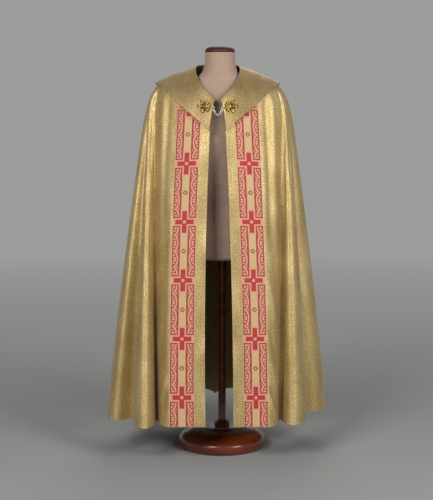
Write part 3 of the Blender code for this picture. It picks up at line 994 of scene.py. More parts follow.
@dataclass
class ClothForm:
    """The cope's form, with its measures in metres.

    The neckline and the collar's edge go from the front edge to the centre back, with x
    outwards. neck_side, panel_end and shoulder_tip are numbers of their rows.
    """

    hem_z: float = 0.155
    centre_x: float = -0.018
    border_width: float = 0.042
    orphrey_width: float = 0.096
    panel_width: float = 0.215
    shoulder_crown: float = 0.006
    shoulder_fade: float = 0.030
    fold_fullness: float = 0.95
    fold_inset: float = 0.03
    valley_width: float = 0.006
    panel_turn: float = math.radians(84)
    flat_steps: int = 23
    round_steps: int = 16
    fold_steps: int = 26
    ease_full: float = 0.06
    ease_passes: int = 5
    small_creases: int = 54
    small_from: float = 0.15
    small_top: tuple[float, float] = (-0.05, 0.85)
    small_length: tuple[float, float] = (0.08, 0.5)
    small_lean: float = 0.012
    small_rise: tuple[float, float] = (0.0004, 0.0014)
    small_width: tuple[float, float] = (0.006, 0.016)
    crease_fades: tuple[float, float] = (0.2, 0.3)
    sway: float = 0.0105
    sway_periods: tuple[float, float, float] = (0.34, 0.19, 0.11)
    sway_full: float = 0.12
    relief_full: float = 0.035
    neckline: tuple[tuple[float, float, float], ...] = (
        (0.0125, -0.160, 1.436),
        (0.0600, -0.110, 1.484),
        (0.0815, -0.060, 1.524),
        (0.0870, -0.004, 1.560),
        (0.0650, 0.056, 1.570),
        (0.0000, 0.084, 1.574),
    )
    collar_edge: tuple[tuple[float, float, float], ...] = (
        (0.0310, -0.170, 1.312),
        (0.0660, -0.160, 1.346),
        (0.1580, -0.113, 1.419),
        (0.2260, -0.046, 1.480),
        (0.2420, -0.010, 1.490),
        (0.2330, 0.050, 1.476),
        (0.1780, 0.110, 1.428),
        (0.0950, 0.142, 1.392),
        (0.0000, 0.150, 1.380),
    )
    neck_side: int = 3
    panel_end: int = 3
    shoulder_tip: int = 4

    def columns(self, side: Side) -> Columns:
        """The columns of one side, from its front edge to the centre back.

        Args:
            side: the side of the cope.

        Returns:
            Its columns, close enough together for the creases.
        """
        edge = EdgeCurve(self.collar_edge)
        flat = self.border_width + self.orphrey_width
        knots = [edge.station(i) for i in range(self.panel_end + 1)]
        places = [0.0, self.border_width, flat, self.panel_width]
        way = np.linspace(0.0, flat, self.flat_steps + 1)
        start, end, last = (np.array(p) for p in (side.panel.edge, side.panel.flat, side.panel.end))
        feet = [start + (end - start) * (way / flat)[:, None]]
        shares = [np.interp(way, places, knots)]
        u = np.arange(1, self.round_steps + 1) / self.round_steps
        turn = self.panel_turn * u
        x = end[0] + (last[0] - end[0]) * np.sin(turn) / math.sin(self.panel_turn)
        y = last[1] + (end[1] - last[1]) * (np.cos(turn) - math.cos(self.panel_turn) * u)
        feet.append(np.stack([x, y], axis=1))
        beyond = flat + (self.panel_width - flat) * u
        shares.append(np.interp(beyond, places, knots))
        tucks = [np.zeros(len(way) + len(u))]
        roundings = [np.zeros(len(way)), u * u]
        begin = knots[-1]
        behind_panel = 1 - begin
        before = last
        u = np.arange(self.fold_steps + 1) / self.fold_steps
        along = u - self.fold_fullness * np.sin(2 * math.pi * u) / (2 * math.pi)
        out = np.sin(math.pi * u)
        for number, fold in enumerate(side.folds):
            last_fold = number == len(side.folds) - 1
            after, crest = np.array(fold.valley), np.array(fold.crest)
            floor = (after - before) / np.linalg.norm(after - before) * self.valley_width / 2
            first = before + floor
            final = after if last_fold else after - floor
            reach = crest - (first + final) / 2
            feet.append(first + (final - first) * along[:, None] + reach * out[:, None])
            width = fold.share * behind_panel
            share = begin + width * (self.fold_inset + (1 - 2 * self.fold_inset) * u)
            if last_fold:
                share[-1] = begin + width
            shares.append(share)
            tucks.append(fold.tuck * out)
            roundings.append(np.ones(len(u)))
            begin += width
            before = after
        foot = np.vstack(feet)
        steps = np.linalg.norm(np.diff(foot, axis=0), axis=1)
        return Columns(
            share=np.concatenate(shares),
            foot=foot,
            tuck=np.concatenate(tucks),
            rounding=np.concatenate(roundings),
            way=np.concatenate([[0.0], np.cumsum(steps)]),
        )

    def side_points(self, side: Side, columns: Columns, rows: Array) -> Array:
        """The plain form's points on one side.

        Args:
            side: the side of the cope.
            columns: its columns.
            rows: -1 at the neckline, 0 at the collar's edge and 1 at the hem.

        Returns:
            The points, rows by columns by 3.
        """
        edge = EdgeCurve(self.collar_edge)
        neckline = EdgeCurve(self.neckline)
        top = edge.at(columns.share)
        tip = [0.0, edge.station(self.shoulder_tip), 1.0]
        nape = [0.0, neckline.station(self.neck_side), 1.0]
        neck = neckline.at(np.interp(columns.share, tip, nape))
        r = np.asarray(rows, float)[:, None, None]
        under = neck + (top - neck) * (r + 1)
        under[:, :, 2] -= self.shoulder_crown * 4 * r[:, :, 0] * (r[:, :, 0] + 1)
        foot = np.column_stack([columns.foot, np.full(len(top), self.hem_z)])
        outward = unit(top * (1.0, 1.0, 0.0))
        bulge = (side.shoulder_round * columns.rounding + columns.tuck)[:, None]
        t = np.clip(r, 0.0, 1.0)
        rounded = (1 - t * t) * (1 - np.exp(-t / self.shoulder_fade))
        fall = top + (foot - top) * t + outward * bulge * rounded
        fall[:, :, 0] += side.panel_bow * (1 - columns.rounding) * 4 * (t * (1 - t))[:, :, 0]
        local = np.where(r <= 0, under, fall)
        local[:, :, 0] = self.centre_x + side.hand.value * local[:, :, 0]
        return local

    def softened(self, grid: Array, rows: Array, first: int) -> Array:
        """The grid with its folds' valleys eased, as a thick cloth turns.

        Args:
            grid: one side's points.
            rows: its rows.
            first: the first column that may move.

        Returns:
            The eased grid.
        """
        eased = grid.copy()
        share = np.clip(np.asarray(rows) / self.ease_full, 0.0, 1.0)[:, None, None] / 2
        for _ in range(self.ease_passes):
            mean = (eased[:, :-2] + eased[:, 2:]) / 2
            eased[:, first:-1] += (mean - eased[:, 1:-1])[:, first - 1 :] * share
        return eased

    def small(self, side: Side, length: float) -> list[Crease]:
        """Shallow creases at seeded places, like those that the main ones leave between them.

        Args:
            side: the side of the cope.
            length: how far round the hem the side goes.

        Returns:
            The creases.
        """
        draw = np.random.default_rng(side.seed)
        made = []
        for _ in range(self.small_creases):
            at = draw.uniform(self.small_from, length - 0.01)
            top = draw.uniform(*self.small_top)
            long = draw.uniform(*self.small_length)
            lean = draw.normal(0.0, self.small_lean)
            rise = draw.choice([-1.0, 1.0]) * draw.uniform(*self.small_rise)
            width = draw.uniform(*self.small_width)
            made.append(Crease((at, top), (at + lean, top + long), rise, width))
        return made

    def relief(self, side: Side, columns: Columns, grid: Array, rows: Array) -> Array:
        """How far each point of one side stands off the plain form.

        Args:
            side: the side of the cope.
            columns: its columns.
            grid: its plain points.
            rows: its rows.

        Returns:
            The heights, rows by columns.
        """
        across = across_rows(grid)
        heights = np.zeros(grid.shape[:2])
        fade_in, fade_out = self.crease_fades
        for crease in [*side.creases, *self.small(side, float(columns.way[-1]))]:
            (q0, t0), (q1, t1) = crease.start, crease.end
            for row, t in enumerate(rows):
                if t <= 0 or not t0 < t < t1:
                    continue
                u = (t - t0) / (t1 - t0)
                q = q0 + (q1 - q0) * u + crease.bow * 4 * u * (1 - u)
                middle = np.interp(q, columns.way, across[row])
                fade = min(1.0, u / fade_in if t0 > 0.01 else 1.0) * min(1.0, (1 - u) / fade_out)
                fade = fade * fade * (3 - 2 * fade)
                near = np.exp(-(((across[row] - middle) / crease.width) ** 2))
                heights[row] += crease.rise * fade * near
        t = np.clip(np.asarray(rows), 0.0, 1.0)[:, None]
        draw = np.random.default_rng(side.seed + 100)
        sway = np.zeros_like(t)
        for period in self.sway_periods:
            sway += np.sin(2 * math.pi * (t / period + draw.uniform())) * period
        border = np.clip(1 - across / (self.border_width * 1.15), 0.0, 1.0) ** 1.5
        heights += sway * border * self.sway * np.minimum(1.0, t / self.sway_full)
        return heights * np.minimum(1.0, t / self.relief_full)

    def grid(self, rows: Array) -> Array:
        """The whole cloth's outer face with its creases, from the right front edge to the left.

        Args:
            rows: -1 at the neckline, 0 at the collar's edge and 1 at the hem.

        Returns:
            The points, rows by columns by 3.
        """
        halves = []
        for side in (RIGHT, LEFT):
            columns = self.columns(side)
            plain = self.softened(self.side_points(side, columns, rows), rows, self.flat_steps + 2)
            out = grid_normals(plain) * -side.hand.value
            halves.append(plain + out * self.relief(side, columns, plain, rows)[:, :, None])
        return joined(halves)

    def cut(self, grid: Array) -> Array:
        """The map of a whole grid: the way from the nearer front edge, and up from the hem."""
        across = across_rows(grid)
        around = np.minimum(across, across[:, -1:] - across)
        return np.stack([around, down_columns(grid)], axis=2)


# ------------------------------------------------------------------ the vestment's pieces


@dataclass
class CopeBody:
    """The cope's one sheet, a thin wall with a duller reverse."""

    form: ClothForm
    thickness: float = 0.0013
    rows_under: int = 5
    rows_fall: int = 118
    crowding: float = 1.12
    rim: float = 0.0005

    def __post_init__(self) -> None:
        """Sets the rows, closer together below the collar's edge, and makes the grid."""
        fall = np.linspace(0.0, 1.0, self.rows_fall + 1)[1:] ** self.crowding
        under = np.linspace(-1.0, 0.0, self.rows_under + 1)
        self.rows = np.concatenate([under, fall])
        self.points = self.form.grid(self.rows)

    def build(self, outside: Material, reverse: Material) -> Piece:
        """Makes the sheet.

        Args:
            outside: the finish of its right side.
            reverse: the finish of its reverse.

        Returns:
            The sheet.
        """
        inner = self.points - grid_normals(self.points) * self.thickness
        cut = self.form.cut(self.points)
        obj = shell("cope_cloth", self.points, inner, cut, (outside, reverse), self.rim)
        set_in(obj, "cope_body")
        return obj


@dataclass
class Orphrey:
    """A figured band sewn on one front, on the body's own points."""

    form: ClothForm
    side: Side
    thickness: float = 0.0010
    gap: float = 0.0003
    under_collar: float = 0.20
    hem_clear: float = 0.002
    rim: float = 0.0004

    def build(self, body: CopeBody, finish: Material) -> Piece:
        """Makes the band.

        Args:
            body: the cloth that it is sewn to.
            finish: its weave.

        Returns:
            The band.
        """
        form = self.form
        flat = form.border_width + form.orphrey_width
        first = round(form.border_width / flat * form.flat_steps)
        normals = grid_normals(body.points)
        top = int(np.searchsorted(body.rows, -self.under_collar - 1e-6))
        count = body.points.shape[1]
        if self.side.hand is Hand.RIGHT:
            band = slice(first, form.flat_steps + 1)
        else:
            band = slice(count - form.flat_steps - 1, count - first)
        grid, out = body.points[top:, band].copy(), normals[top:, band]
        grid[-1] += unit(grid[-2] - grid[-1]) * self.hem_clear
        across = across_rows(grid)
        wide = across / across[:, -1:] * form.orphrey_width
        cut = np.stack([wide, down_columns(grid)], axis=2)
        inner = grid + out * self.gap
        outer = grid + out * (self.gap + self.thickness)
        name = self.side.hand.name.lower()
        obj = shell(f"orphrey_band_{name}", outer, inner, cut, (finish,), self.rim)
        set_in(obj, f"orphrey_{name}")
        return obj


@dataclass
class Collar:
    """The one wide flat collar, which lies at the neckline and stands off at its free edge."""

    form: ClothForm
    thickness: float = 0.0025
    gap: float = 0.0003
    lift: float = 0.009
    tip_lift: float = 0.004
    ripple: float = 0.0011
    overhang: float = 0.004
    rows: int = 26
    rim: float = 0.0009

    def build(self, finish: Material) -> Piece:
        """Makes the collar.

        Args:
            finish: its cloth, here a darker copy of the body's lame that paints shade.

        Returns:
            The collar.
        """
        share = np.linspace(0.0, 1.0, self.rows)
        halves = []
        tips = []
        for side in (RIGHT, LEFT):
            columns = self.form.columns(side)
            count = len(columns.share)
            keep = np.unique([*range(0, count, 2), count - 1])
            thin = Columns(**{name: values[keep] for name, values in vars(columns).items()})
            halves.append(self.form.side_points(side, thin, share - 1))
            flat = self.form.border_width + self.form.orphrey_width
            reach = thin.way / (flat * 7 / 6)
            tips.append(np.clip(1 - reach, 0.0, 1.0))
        grid = joined(halves)
        tip = np.concatenate([tips[0], tips[1][-2::-1]])[None, :]
        normals = grid_normals(grid)
        run = unit(grid[-1] - grid[0])
        s = share[:, None]
        grid += run[None] * (self.overhang * s**8)[:, :, None]
        rim = across_rows(grid)[-1:]
        ripple = (np.sin(rim * 21.0) * 0.5 + np.sin(rim * 37.0 + 1.3) * 0.3 + 0.8) * self.ripple
        rise = self.gap + self.lift * s**1.5 + self.tip_lift * tip * s**2 + ripple * s**3
        inner = grid + normals * rise[:, :, None]
        outer = inner + normals * self.thickness
        obj = shell("collar_cloth", outer, inner, self.form.cut(outer), (finish,), self.rim)
        set_in(obj, "collar")
        return obj


@dataclass(frozen=True)
class Petal:
    """One curled loop of a clasp: its middle, its length and width, and its turn in degrees."""

    across: float
    up: float
    length: float
    width: float
    turn: float


@dataclass
class Clasp:
    """One half of the clasp, in gilt filigree over dark bronze, bent to lie on the collar."""

    form: ClothForm
    hand: Hand
    centre_x: float = 0.0500
    centre_z: float = 1.4050
    lift: float = 0.0021
    wire: float = 0.0016
    twists: int = 11
    beads: tuple[tuple[float, float], ...] = ((0.47, 0.0021), (0.13, 0.0014), (-0.22, 0.0012))
    dome: float = 0.0034
    rope_ring: float = 0.0050
    grain_ring: float = 0.0064
    grain: float = 0.0010
    eye_x: float = -0.0290
    eye_radius: float = 0.0031
    collar_edge_x: float = 0.0190
    petals: tuple[Petal, ...] = (
        Petal(0.0180, 0.0000, 0.0256, 0.0165, 0.0),
        Petal(0.0085, 0.0150, 0.0215, 0.0165, 56.0),
        Petal(0.0085, -0.0150, 0.0215, 0.0165, -56.0),
        Petal(-0.0085, 0.0115, 0.0190, 0.0150, 118.0),
        Petal(-0.0085, -0.0115, 0.0190, 0.0150, -118.0),
        Petal(-0.0160, 0.0052, 0.0135, 0.0095, 152.0),
        Petal(-0.0160, -0.0052, 0.0135, 0.0095, -152.0),
    )

    def petal(self, pile: Pile, petal: Petal) -> None:
        """Adds a loop: a twisted rim, two curls inside it and bright beads."""
        a = turns(60)
        rim = oval(60, petal.length, petal.width)
        rim[:, 1] *= 0.55 + 0.45 * (0.62 + 0.38 * np.cos(a))
        turn = np.array(Matrix.Rotation(math.radians(petal.turn), 3, "Z"))
        place = np.array([petal.across, petal.up, 0.0])
        for phase in (0.0, math.pi):
            wind = a * self.twists + phase
            strand = rim + unit(rim) * (np.cos(wind) * self.wire * 0.45)[:, None]
            strand[:, 2] += np.sin(wind) * self.wire * 0.30 + 0.0004
            pile.tube(strand @ turn.T + place, self.wire * 0.40, True, 1, 5)
        for sign in (-1.0, 1.0):
            b = np.linspace(0.0, 3.4 * math.pi, 34)
            size = petal.width * 0.245 * (1 - b / (4.4 * math.pi))
            curl = np.stack(
                [
                    petal.length * 0.13 + np.cos(b + math.pi) * size,
                    sign * (petal.width * 0.205 + np.sin(b + math.pi) * size),
                    np.full(len(b), 0.0008),
                ],
                axis=1,
            )
            pile.tube(curl @ turn.T + place, np.linspace(0.0008, 0.0005, len(b)), False, 0, 5)
            stem = np.linspace(0.0, 1.0, 10)[:, None]
            root = np.array([-petal.length * 0.42, 0.0, 0.0006])
            tip = np.array([-petal.length * 0.10, sign * petal.width * 0.20, 0.0009])
            leaf = root * (1 - stem) + tip * stem
            pile.tube(leaf @ turn.T + place, 0.0007, False, 0, 5)
        for share, size in self.beads:
            pile.ball(turn @ np.array([petal.length * share, 0.0, 0.0012]) + place, size)

    def boss(self, pile: Pile) -> None:
        """Adds the middle boss: a dome in a rope ring with a row of grains round it."""
        ring = oval(36, self.rope_ring * 2, self.rope_ring * 2)
        pile.ball((0.0, 0.0, 0.0012), self.dome, 0.62)
        pile.tube(ring + (0, 0, 0.0014), self.grain, True, 1)
        for place in oval(10, self.grain_ring * 2, self.grain_ring * 2):
            pile.ball(place + (0, 0, 0.0014), self.grain)

    def point(self, pile: Pile) -> None:
        """Adds the pointed bar towards the opening, and the eye that holds the chain."""
        t = np.linspace(0.0, 1.0, 24)
        for sign in (-1.0, 1.0):
            side = sign * 0.0048 * np.sin(math.pi * t**0.8)
            bow = np.stack([-0.005 - t * 0.0205, side, t * 0 + 0.0010], axis=1)
            pile.tube(bow, np.linspace(0.0014, 0.0010, len(t)), False, 1)
        ridge = 0.0014 + 0.0008 * np.sin(math.pi * t)
        spine = np.stack([-0.004 - t * 0.0215, t * 0, ridge], axis=1)
        pile.tube(spine, np.linspace(0.0012, 0.0006, len(t)), False, 0)
        for x in (-0.0105, -0.0150, -0.0195):
            pile.ball((x, 0.0, 0.0022), 0.0012)
        eye = oval(24, self.eye_radius * 2, self.eye_radius * 2)
        pile.tube(eye + (self.eye_x, 0, 0.0012), 0.0007, True)

    def build(self, collar: Piece, gilt: Material, bronze: Material) -> Piece:
        """Makes the clasp half.

        Args:
            collar: the collar that it is sewn on.
            gilt: the finish of its beads.
            bronze: the finish of its twisted rims, its rope ring and the sides of its pointed bar.

        Returns:
            The clasp half.
        """
        pile = Pile()
        for petal in self.petals:
            self.petal(pile, petal)
        self.boss(pile)
        self.point(pile)
        flat = np.vstack(pile.points)
        collar.data.calc_loop_triangles()
        corners = [t.vertices for t in collar.data.loop_triangles]
        surface = BVHTree.FromPolygons([v.co for v in collar.data.vertices], corners)
        bent = []
        for x, y, z in flat:
            local = self.centre_x + x
            over = max(local, self.collar_edge_x)
            start = Vector((self.form.centre_x + self.hand.value * over, -1.0, self.centre_z + y))
            hit, normal, _, _ = surface.ray_cast(start, Vector((0, 1, 0)))
            point = hit + normal * (self.lift + z)
            point.x += self.hand.value * (local - over)
            bent.append(point)
        faces = pile.faces if self.hand is Hand.LEFT else [face[::-1] for face in pile.faces]
        name = self.hand.name.lower()
        finishes = (gilt, bronze)
        obj = mesh_object(f"clasp_half_{name}", np.array(bent), faces, finishes, pile.finishes)
        return set_in(obj, f"clasp_{name}")


@dataclass
class Chain:
    """The chain between the clasp halves: oval links, each turned a quarter from the last."""

    form: ClothForm
    links: int = 7
    length: float = 0.0158
    width: float = 0.0102
    wire: float = 0.0020
    top_z: float = 1.4040
    half_span: float = 0.0186
    tightness: float = 0.0081
    plane_y: float = -0.1790
    lean: float = math.radians(45)
    bends: int = 36

    def hung(self, along: float) -> Vector:
        """The chain's middle line at a length from its lowest point."""
        x = self.tightness * math.asinh(along / self.tightness)
        deepest, here = (math.cosh(w / self.tightness) for w in (self.half_span, x))
        drop = self.tightness * (deepest - here)
        return Vector((self.form.centre_x + x, self.plane_y, self.top_z - drop))

    def build(self, finish: Material) -> list[Piece]:
        """Makes the links.

        Args:
            finish: their metal.

        Returns:
            The links, from the right clasp half to the left one.
        """
        half = self.tightness * math.sinh(self.half_span / self.tightness)
        joints = [self.hung(half * (2 * i / self.links - 1)) for i in range(self.links + 1)]
        ring = oval(self.bends, self.length - self.wire, self.width - self.wire)
        front = Vector((0, -1, 0))
        made = []
        for number, (start, end) in enumerate(zip(joints, joints[1:]), start=1):
            along = (end - start).normalized()
            across = front.cross(along).normalized()
            lean = self.lean if number % 2 else -self.lean
            side = across * math.cos(lean) + front * math.sin(lean)
            turn = Matrix((along, side, along.cross(side))).transposed()
            pile = Pile()
            pile.tube(ring, self.wire / 2, True, sides=10)
            points = np.vstack(pile.points) @ np.array(turn).T + np.array((start + end) / 2)
            link = mesh_object(f"link_{number}", points, pile.faces, (finish,))
            made.append(set_in(link, f"chain_link_{number}"))
        return made


# ------------------------------------------------------------------ the dress form


@dataclass
class DressForm:
    """The limbless form that the cope stands on, from its neck cap down to its base.

    Each of the torso's rings has its height, half its width, half its depth, its middle's Y
    and its squareness, 2 for an oval. The torso leans along X between two heights.
    """

    rings: tuple[tuple[float, float, float, float, float], ...] = (
        (0.790, 0.172, 0.118, 0.000, 2.2),
        (0.800, 0.180, 0.126, 0.000, 2.2),
        (0.880, 0.182, 0.126, 0.002, 2.2),
        (1.020, 0.162, 0.110, 0.000, 2.2),
        (1.160, 0.176, 0.116, -0.004, 2.2),
        (1.290, 0.196, 0.126, -0.006, 2.3),
        (1.380, 0.208, 0.121, -0.002, 2.3),
        (1.430, 0.208, 0.107, 0.001, 2.3),
        (1.462, 0.196, 0.093, 0.002, 2.3),
        (1.485, 0.160, 0.083, 0.003, 2.2),
        (1.505, 0.120, 0.077, 0.003, 2.1),
        (1.524, 0.090, 0.072, 0.002, 2.0),
        (1.542, 0.072, 0.068, 0.002, 2.0),
        (1.562, 0.0650, 0.0650, 0.001, 2.0),
        (1.590, 0.0615, 0.0615, 0.000, 2.0),
        (1.6195, 0.0603, 0.0603, 0.000, 2.0),
    )
    lean: float = -0.009
    lean_from: float = 0.790
    lean_to: float = 1.560
    sides: int = 120
    cap_radius: float = 0.0600
    cap_rise: float = 0.0250
    cap_edge: float = 0.004
    cap_z: float = 1.6200
    cap_flatness: float = 0.6
    pole_radius: float = 0.016
    base_radius: float = 0.180
    base_height: float = 0.070
    base_foot: float = 0.168
    base_crown: float = 0.008
    base_top: float = 0.090
    boss_radius: float = 0.032
    boss_height: float = 0.030
    boss_flare: float = 0.006
    gap: float = 0.0003

    def ring_table(self) -> Array:
        """The torso's rings at close heights, on straight runs eased at each given ring."""
        table = np.array(self.rings)
        z = np.unique(np.concatenate([np.linspace(table[0, 0], table[-1, 0], 130), table[:, 0]]))
        slopes = np.gradient(table[:, 1:], table[:, 0], axis=0)
        slopes[:2] = 0.0
        i = np.clip(np.searchsorted(table[:, 0], z) - 1, 0, len(table) - 2)
        span = (table[i + 1, 0] - table[i, 0])[:, None]
        u = (z - table[i, 0])[:, None] / span
        values = cubic(u, span, table[i, 1:], slopes[i], table[i + 1, 1:], slopes[i + 1])
        return np.column_stack([z, values])

    def torso(self, jersey: Material) -> Piece:
        """Makes the padded torso and neck.

        Args:
            jersey: its cover.

        Returns:
            The torso.
        """
        table = self.ring_table()
        a = turns(self.sides)
        power = 2 / table[:, 4:5]
        x = np.sign(np.cos(a)) * np.abs(np.cos(a)) ** power * table[:, 1:2]
        y = np.sign(np.sin(a)) * np.abs(np.sin(a)) ** power * table[:, 2:3] + table[:, 3:4]
        leaning = self.lean_to - self.lean_from
        share = np.clip((table[:, 0:1] - self.lean_from) / leaning, 0.0, 1.0)
        grid = np.stack([x + self.lean * share, y, np.broadcast_to(table[:, 0:1], x.shape)], axis=2)
        return set_in(lofted("torso_cover", grid, (jersey,)), "form_torso")

    def turned(
        self,
        name: str,
        profile: Sequence[tuple[float, float]],
        sides: int,
        finish: Material,
        node: str,
        centre: float = 0.0,
    ) -> Piece:
        """Makes a turned wooden piece.

        Args:
            name: the piece's name.
            profile: its radius and height, from the bottom up.
            sides: how many sides it has.
            finish: its wood.
            node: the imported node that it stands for.
            centre: how far its axis is from X = 0.

        Returns:
            The piece.
        """
        a = turns(sides)
        line = np.array(profile)
        grid = np.stack(
            [
                centre + line[:, :1] * np.cos(a),
                line[:, :1] * np.sin(a),
                np.broadcast_to(line[:, 1:], (len(line), sides)),
            ],
            axis=2,
        )
        return set_in(lofted(name, grid, (finish,)), node)

    def cap(self, wood: Material) -> Piece:
        """Makes the domed neck cap."""
        profile = [(self.cap_radius - 0.001, 0.0), (self.cap_radius, 0.0006)]
        for u in (0.3, 0.6, 0.9):
            swell = 0.001 * math.sin(u * math.pi)
            profile.append((self.cap_radius + swell, 0.0006 + u * 0.0034))
        steps = 20
        for i in range(steps):
            b = math.radians(89.4) * i / (steps - 1)
            rise = (self.cap_rise - self.cap_edge) * math.sin(b)
            out = self.cap_radius * math.cos(b) ** self.cap_flatness
            profile.append((out, self.cap_edge + rise))
        lifted = [(radius, z + self.cap_z) for radius, z in profile]
        return self.turned("neck_cap_wood", lifted, 96, wood, "form_neck_cap", self.lean)

    def base(self, wood: Material) -> Piece:
        """Makes the turned base with its round rim and its boss."""
        rim = (self.base_height - self.base_crown) / 2
        profile = [(self.base_foot, 0.0)]
        steps = 32
        for i in range(1, steps + 1):
            b = math.radians(-90 + 180 * i / steps)
            inset = self.base_radius - (self.base_foot if b < 0 else self.base_top)
            rise = rim if b < 0 else self.base_height - rim
            out = self.base_radius - inset + inset * math.cos(b)
            profile.append((out, rim + rise * math.sin(b)))
        for i in range(1, 7):
            b = math.radians(90) * i / 6
            out = self.boss_radius + self.boss_flare * (1 - math.sin(b))
            profile.append((out, self.base_height + self.boss_flare * (1 - math.cos(b))))
        top = self.base_height + self.boss_height
        steps = ((0, 0.012), (0.0012, 0.010), (0.0012, 0.008), (-0.001, 0.006))
        for out, below in (*steps, (-0.002, 0.001), (-0.003, 0)):
            profile.append((self.boss_radius + out, top - below))
        return self.turned("base_wood", profile, 128, wood, "form_base")

    def pole(self, wood: Material) -> Piece:
        """Makes the pole between the base's boss and the torso, with a turned bead at its foot."""
        low = self.base_height + self.boss_height + self.gap
        high = self.rings[0][0] - self.gap
        r = self.pole_radius
        bead = ((0.002, 0), (0.004, 0.003), (0.004, 0.006), (0.001, 0.010), (0, 0.014))
        profile = [(r + out, low + up) for out, up in bead]
        profile.append((r, (low + high) / 2))
        head = ((0, 0.014), (0.002, 0.008), (0.002, 0))
        profile += [(r + out, high - down) for out, down in head]
        return self.turned("pole_wood", profile, 48, wood, "form_pole")


def lofted(name: str, grid: Array, materials: Sequence[Material]) -> Piece:
    """A closed form through rings of points, with a flat cap at each end.

    Args:
        name: the object's name.
        grid: its points, rings from the bottom up by points round each.
        materials: its finishes.

    Returns:
        The object, linked to the scene.
    """
    rings, count = grid.shape[:2]
    number = np.arange(rings * count).reshape(rings, count)
    nxt = np.roll(number, -1, axis=1)
    walls = np.stack([number[:-1], nxt[:-1], nxt[1:], number[1:]], axis=-1).reshape(-1, 4).tolist()
    walls.append(number[0][::-1].tolist())
    walls.append(number[-1].tolist())
    middle = grid.mean(axis=1, keepdims=True)
    radius = np.linalg.norm((grid - middle)[:, :, :2], axis=2).mean(axis=1, keepdims=True)
    turn = np.broadcast_to(turns(count), (rings, count))
    cut = np.stack([turn * radius, grid[:, :, 2]], axis=2)
    return mesh_object(name, grid.reshape(-1, 3), walls, materials, (), cut.reshape(-1, 2), 40.0)


# ------------------------------------------------------------------ the studio


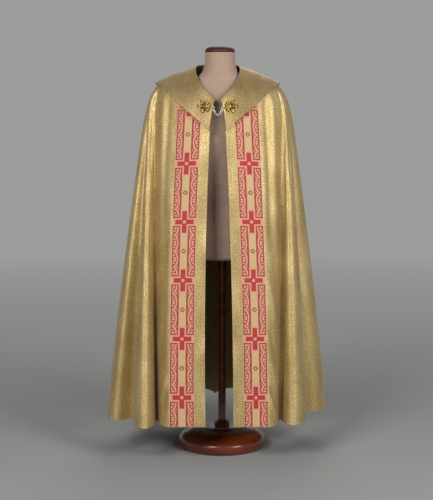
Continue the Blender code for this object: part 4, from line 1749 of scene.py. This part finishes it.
@dataclass
class Studio:
    """A plain pale floor, soft light from two sides in front and from behind, and the camera.

    A light has its name, its place, its power in watts and its size. The floor keeps its own
    tone up to floor_clear from the middle and is one with the sky from floor_gone outwards.
    """

    floor_radius: float = 30.0
    floor_sides: int = 96
    floor_tone: float = 0.34
    sky: Colour = (0.335, 0.335, 0.332)
    sky_strength: float = 1.0
    ceiling: Colour = (0.10, 0.10, 0.10)
    sky_to_ceiling: tuple[float, float] = (0.12, 0.70)
    floor_clear: float = 1.0
    floor_gone: float = 6.5
    lit_point: tuple[float, float, float] = (0.0, 0.0, 0.9)
    eye: tuple[float, float, float] = (-0.023, -5.2, 1.45)
    pitch: float = 6.92
    lens: float = 92.0
    lights: tuple[tuple[str, tuple[float, float, float], float, float], ...] = (
        ("softbox_right", (-2.0, -3.6, 3.1), 118.0, 1.6),
        ("softbox_left", (2.8, -3.2, 2.8), 112.0, 1.6),
        ("softbox_back", (0.4, 3.6, 4.2), 60.0, 2.4),
    )

    def floor(self) -> Piece:
        """Makes the floor."""
        points = oval(self.floor_sides, self.floor_radius * 2, self.floor_radius * 2)
        pad = Pad("pale_floor")
        tone = pad.noise(pad.place(), 3.0, 2.0) * 0.02 + (self.floor_tone - 0.01)
        across, depth, _ = pad.parts(pad.place())
        out = (across * across + depth * depth).root().root()
        away = pad.spread(out, math.sqrt(self.floor_clear), math.sqrt(self.floor_gone))
        tone = tone * (1.0 - away)
        pad.set(
            Base_Color=pad.vector(tone, tone, tone * 0.99),
            Roughness=0.85,
            Specular_IOR_Level=0.0,
            Emission_Color=self.sky,
            Emission_Strength=away * self.sky_strength,
        )
        obj = mesh_object("floor", points, [range(self.floor_sides)], (pad.material,))
        return obj

    def light(self) -> None:
        """Makes the lights and the even sky, and keeps the colours plain."""
        bpy.context.scene.view_settings.view_transform = "Standard"
        for name, place, power, size in self.lights:
            data = bpy.data.lights.new(name, "AREA")
            data.energy = power
            data.shape = "SQUARE"
            data.size = size
            lamp = bpy.data.objects.new(name, data)
            lamp.location = place
            way = Vector(self.lit_point) - Vector(place)
            lamp.rotation_euler = way.to_track_quat("-Z", "Y").to_euler()
            bpy.context.scene.collection.objects.link(lamp)
        world = bpy.data.worlds.new("studio_air")
        world.use_nodes = True
        air = Nodes(world.node_tree)
        sky = air.tree.nodes["Background"]
        height = air.parts(air.node("TexCoord").outputs["Generated"])[2]
        share = air.spread(height, *self.sky_to_ceiling)
        air.feed(sky.inputs["Color"], air.mix(share, self.sky, self.ceiling))
        air.feed(sky.inputs["Strength"], self.sky_strength)
        bpy.context.scene.world = world

    def camera(self) -> None:
        """Makes the camera, a little above the chest and tipped down."""
        data = bpy.data.cameras.new("camera")
        data.lens = self.lens
        data.sensor_width = 36.0
        data.clip_end = 80.0
        camera = bpy.data.objects.new("camera", data)
        camera.location = self.eye
        camera.rotation_euler = (math.radians(90 - self.pitch), 0.0, 0.0)
        bpy.context.scene.collection.objects.link(camera)
        bpy.context.scene.camera = camera


def plain(box: Sequence[Sequence[float]]) -> list[list[float]]:
    """A box's two corners as plain lists of numbers."""
    return [[float(value) for value in corner] for corner in box]


def main() -> None:
    """Builds every piece in order and logs each one's face count."""
    logging.basicConfig(level=logging.INFO, format="%(message)s")
    studio = Studio()
    studio.camera()
    studio.light()
    studio.floor()

    gold = GoldLame().made()
    reverse = GoldLame(name="gold_reverse", face=Face.REVERSE, metallic=0.5, roughness=0.55).made()
    # Painted shade: the collar is the body's own lame, copied with darker tones because its
    # upturned face takes less of the front light.
    collar_gold_painted_shade = GoldLame(
        "collar_lame",
        light=from_screen(232, 208, 152),
        middle=from_screen(186, 160, 108),
        deep=from_screen(126, 98, 56),
    ).made()
    weave = FiguredWeave().made()
    gilt, bronze, silver = (
        Metal(name, from_screen(*colour), from_screen(*shade), roughness, metallic=metallic).made()
        for name, colour, shade, roughness, metallic in (
            ("gilt", (250, 222, 128), (206, 164, 66), 0.26, 0.70),
            ("dark_bronze", (98, 72, 20), (48, 32, 8), 0.42, 1.0),
            ("silver", (250, 250, 250), (216, 218, 222), 0.12, 0.50),
        )
    )
    jersey = Jersey().made()
    wood = Mahogany().made()
    dark = Mahogany(
        "dark_mahogany",
        light=from_screen(72, 24, 12),
        deep=from_screen(32, 9, 5),
        varnish=0.05,
        roughness=0.55,
    ).made()

    form = ClothForm()
    body = CopeBody(form)
    made = [body.build(gold, reverse)]
    for side in (RIGHT, LEFT):
        made.append(Orphrey(form, side).build(body, weave))
    collar = Collar(form).build(collar_gold_painted_shade)
    made.append(collar)
    for hand in Hand:
        made.append(Clasp(form, hand).build(collar, gilt, bronze))
    made += Chain(form).build(silver)
    stand = DressForm()
    made += [stand.torso(jersey), stand.cap(dark), stand.pole(wood), stand.base(wood)]
    for obj in made:
        LOG.info("%s: %d faces", obj.name, len(obj.data.polygons))


if __name__ == "__main__":
    main()
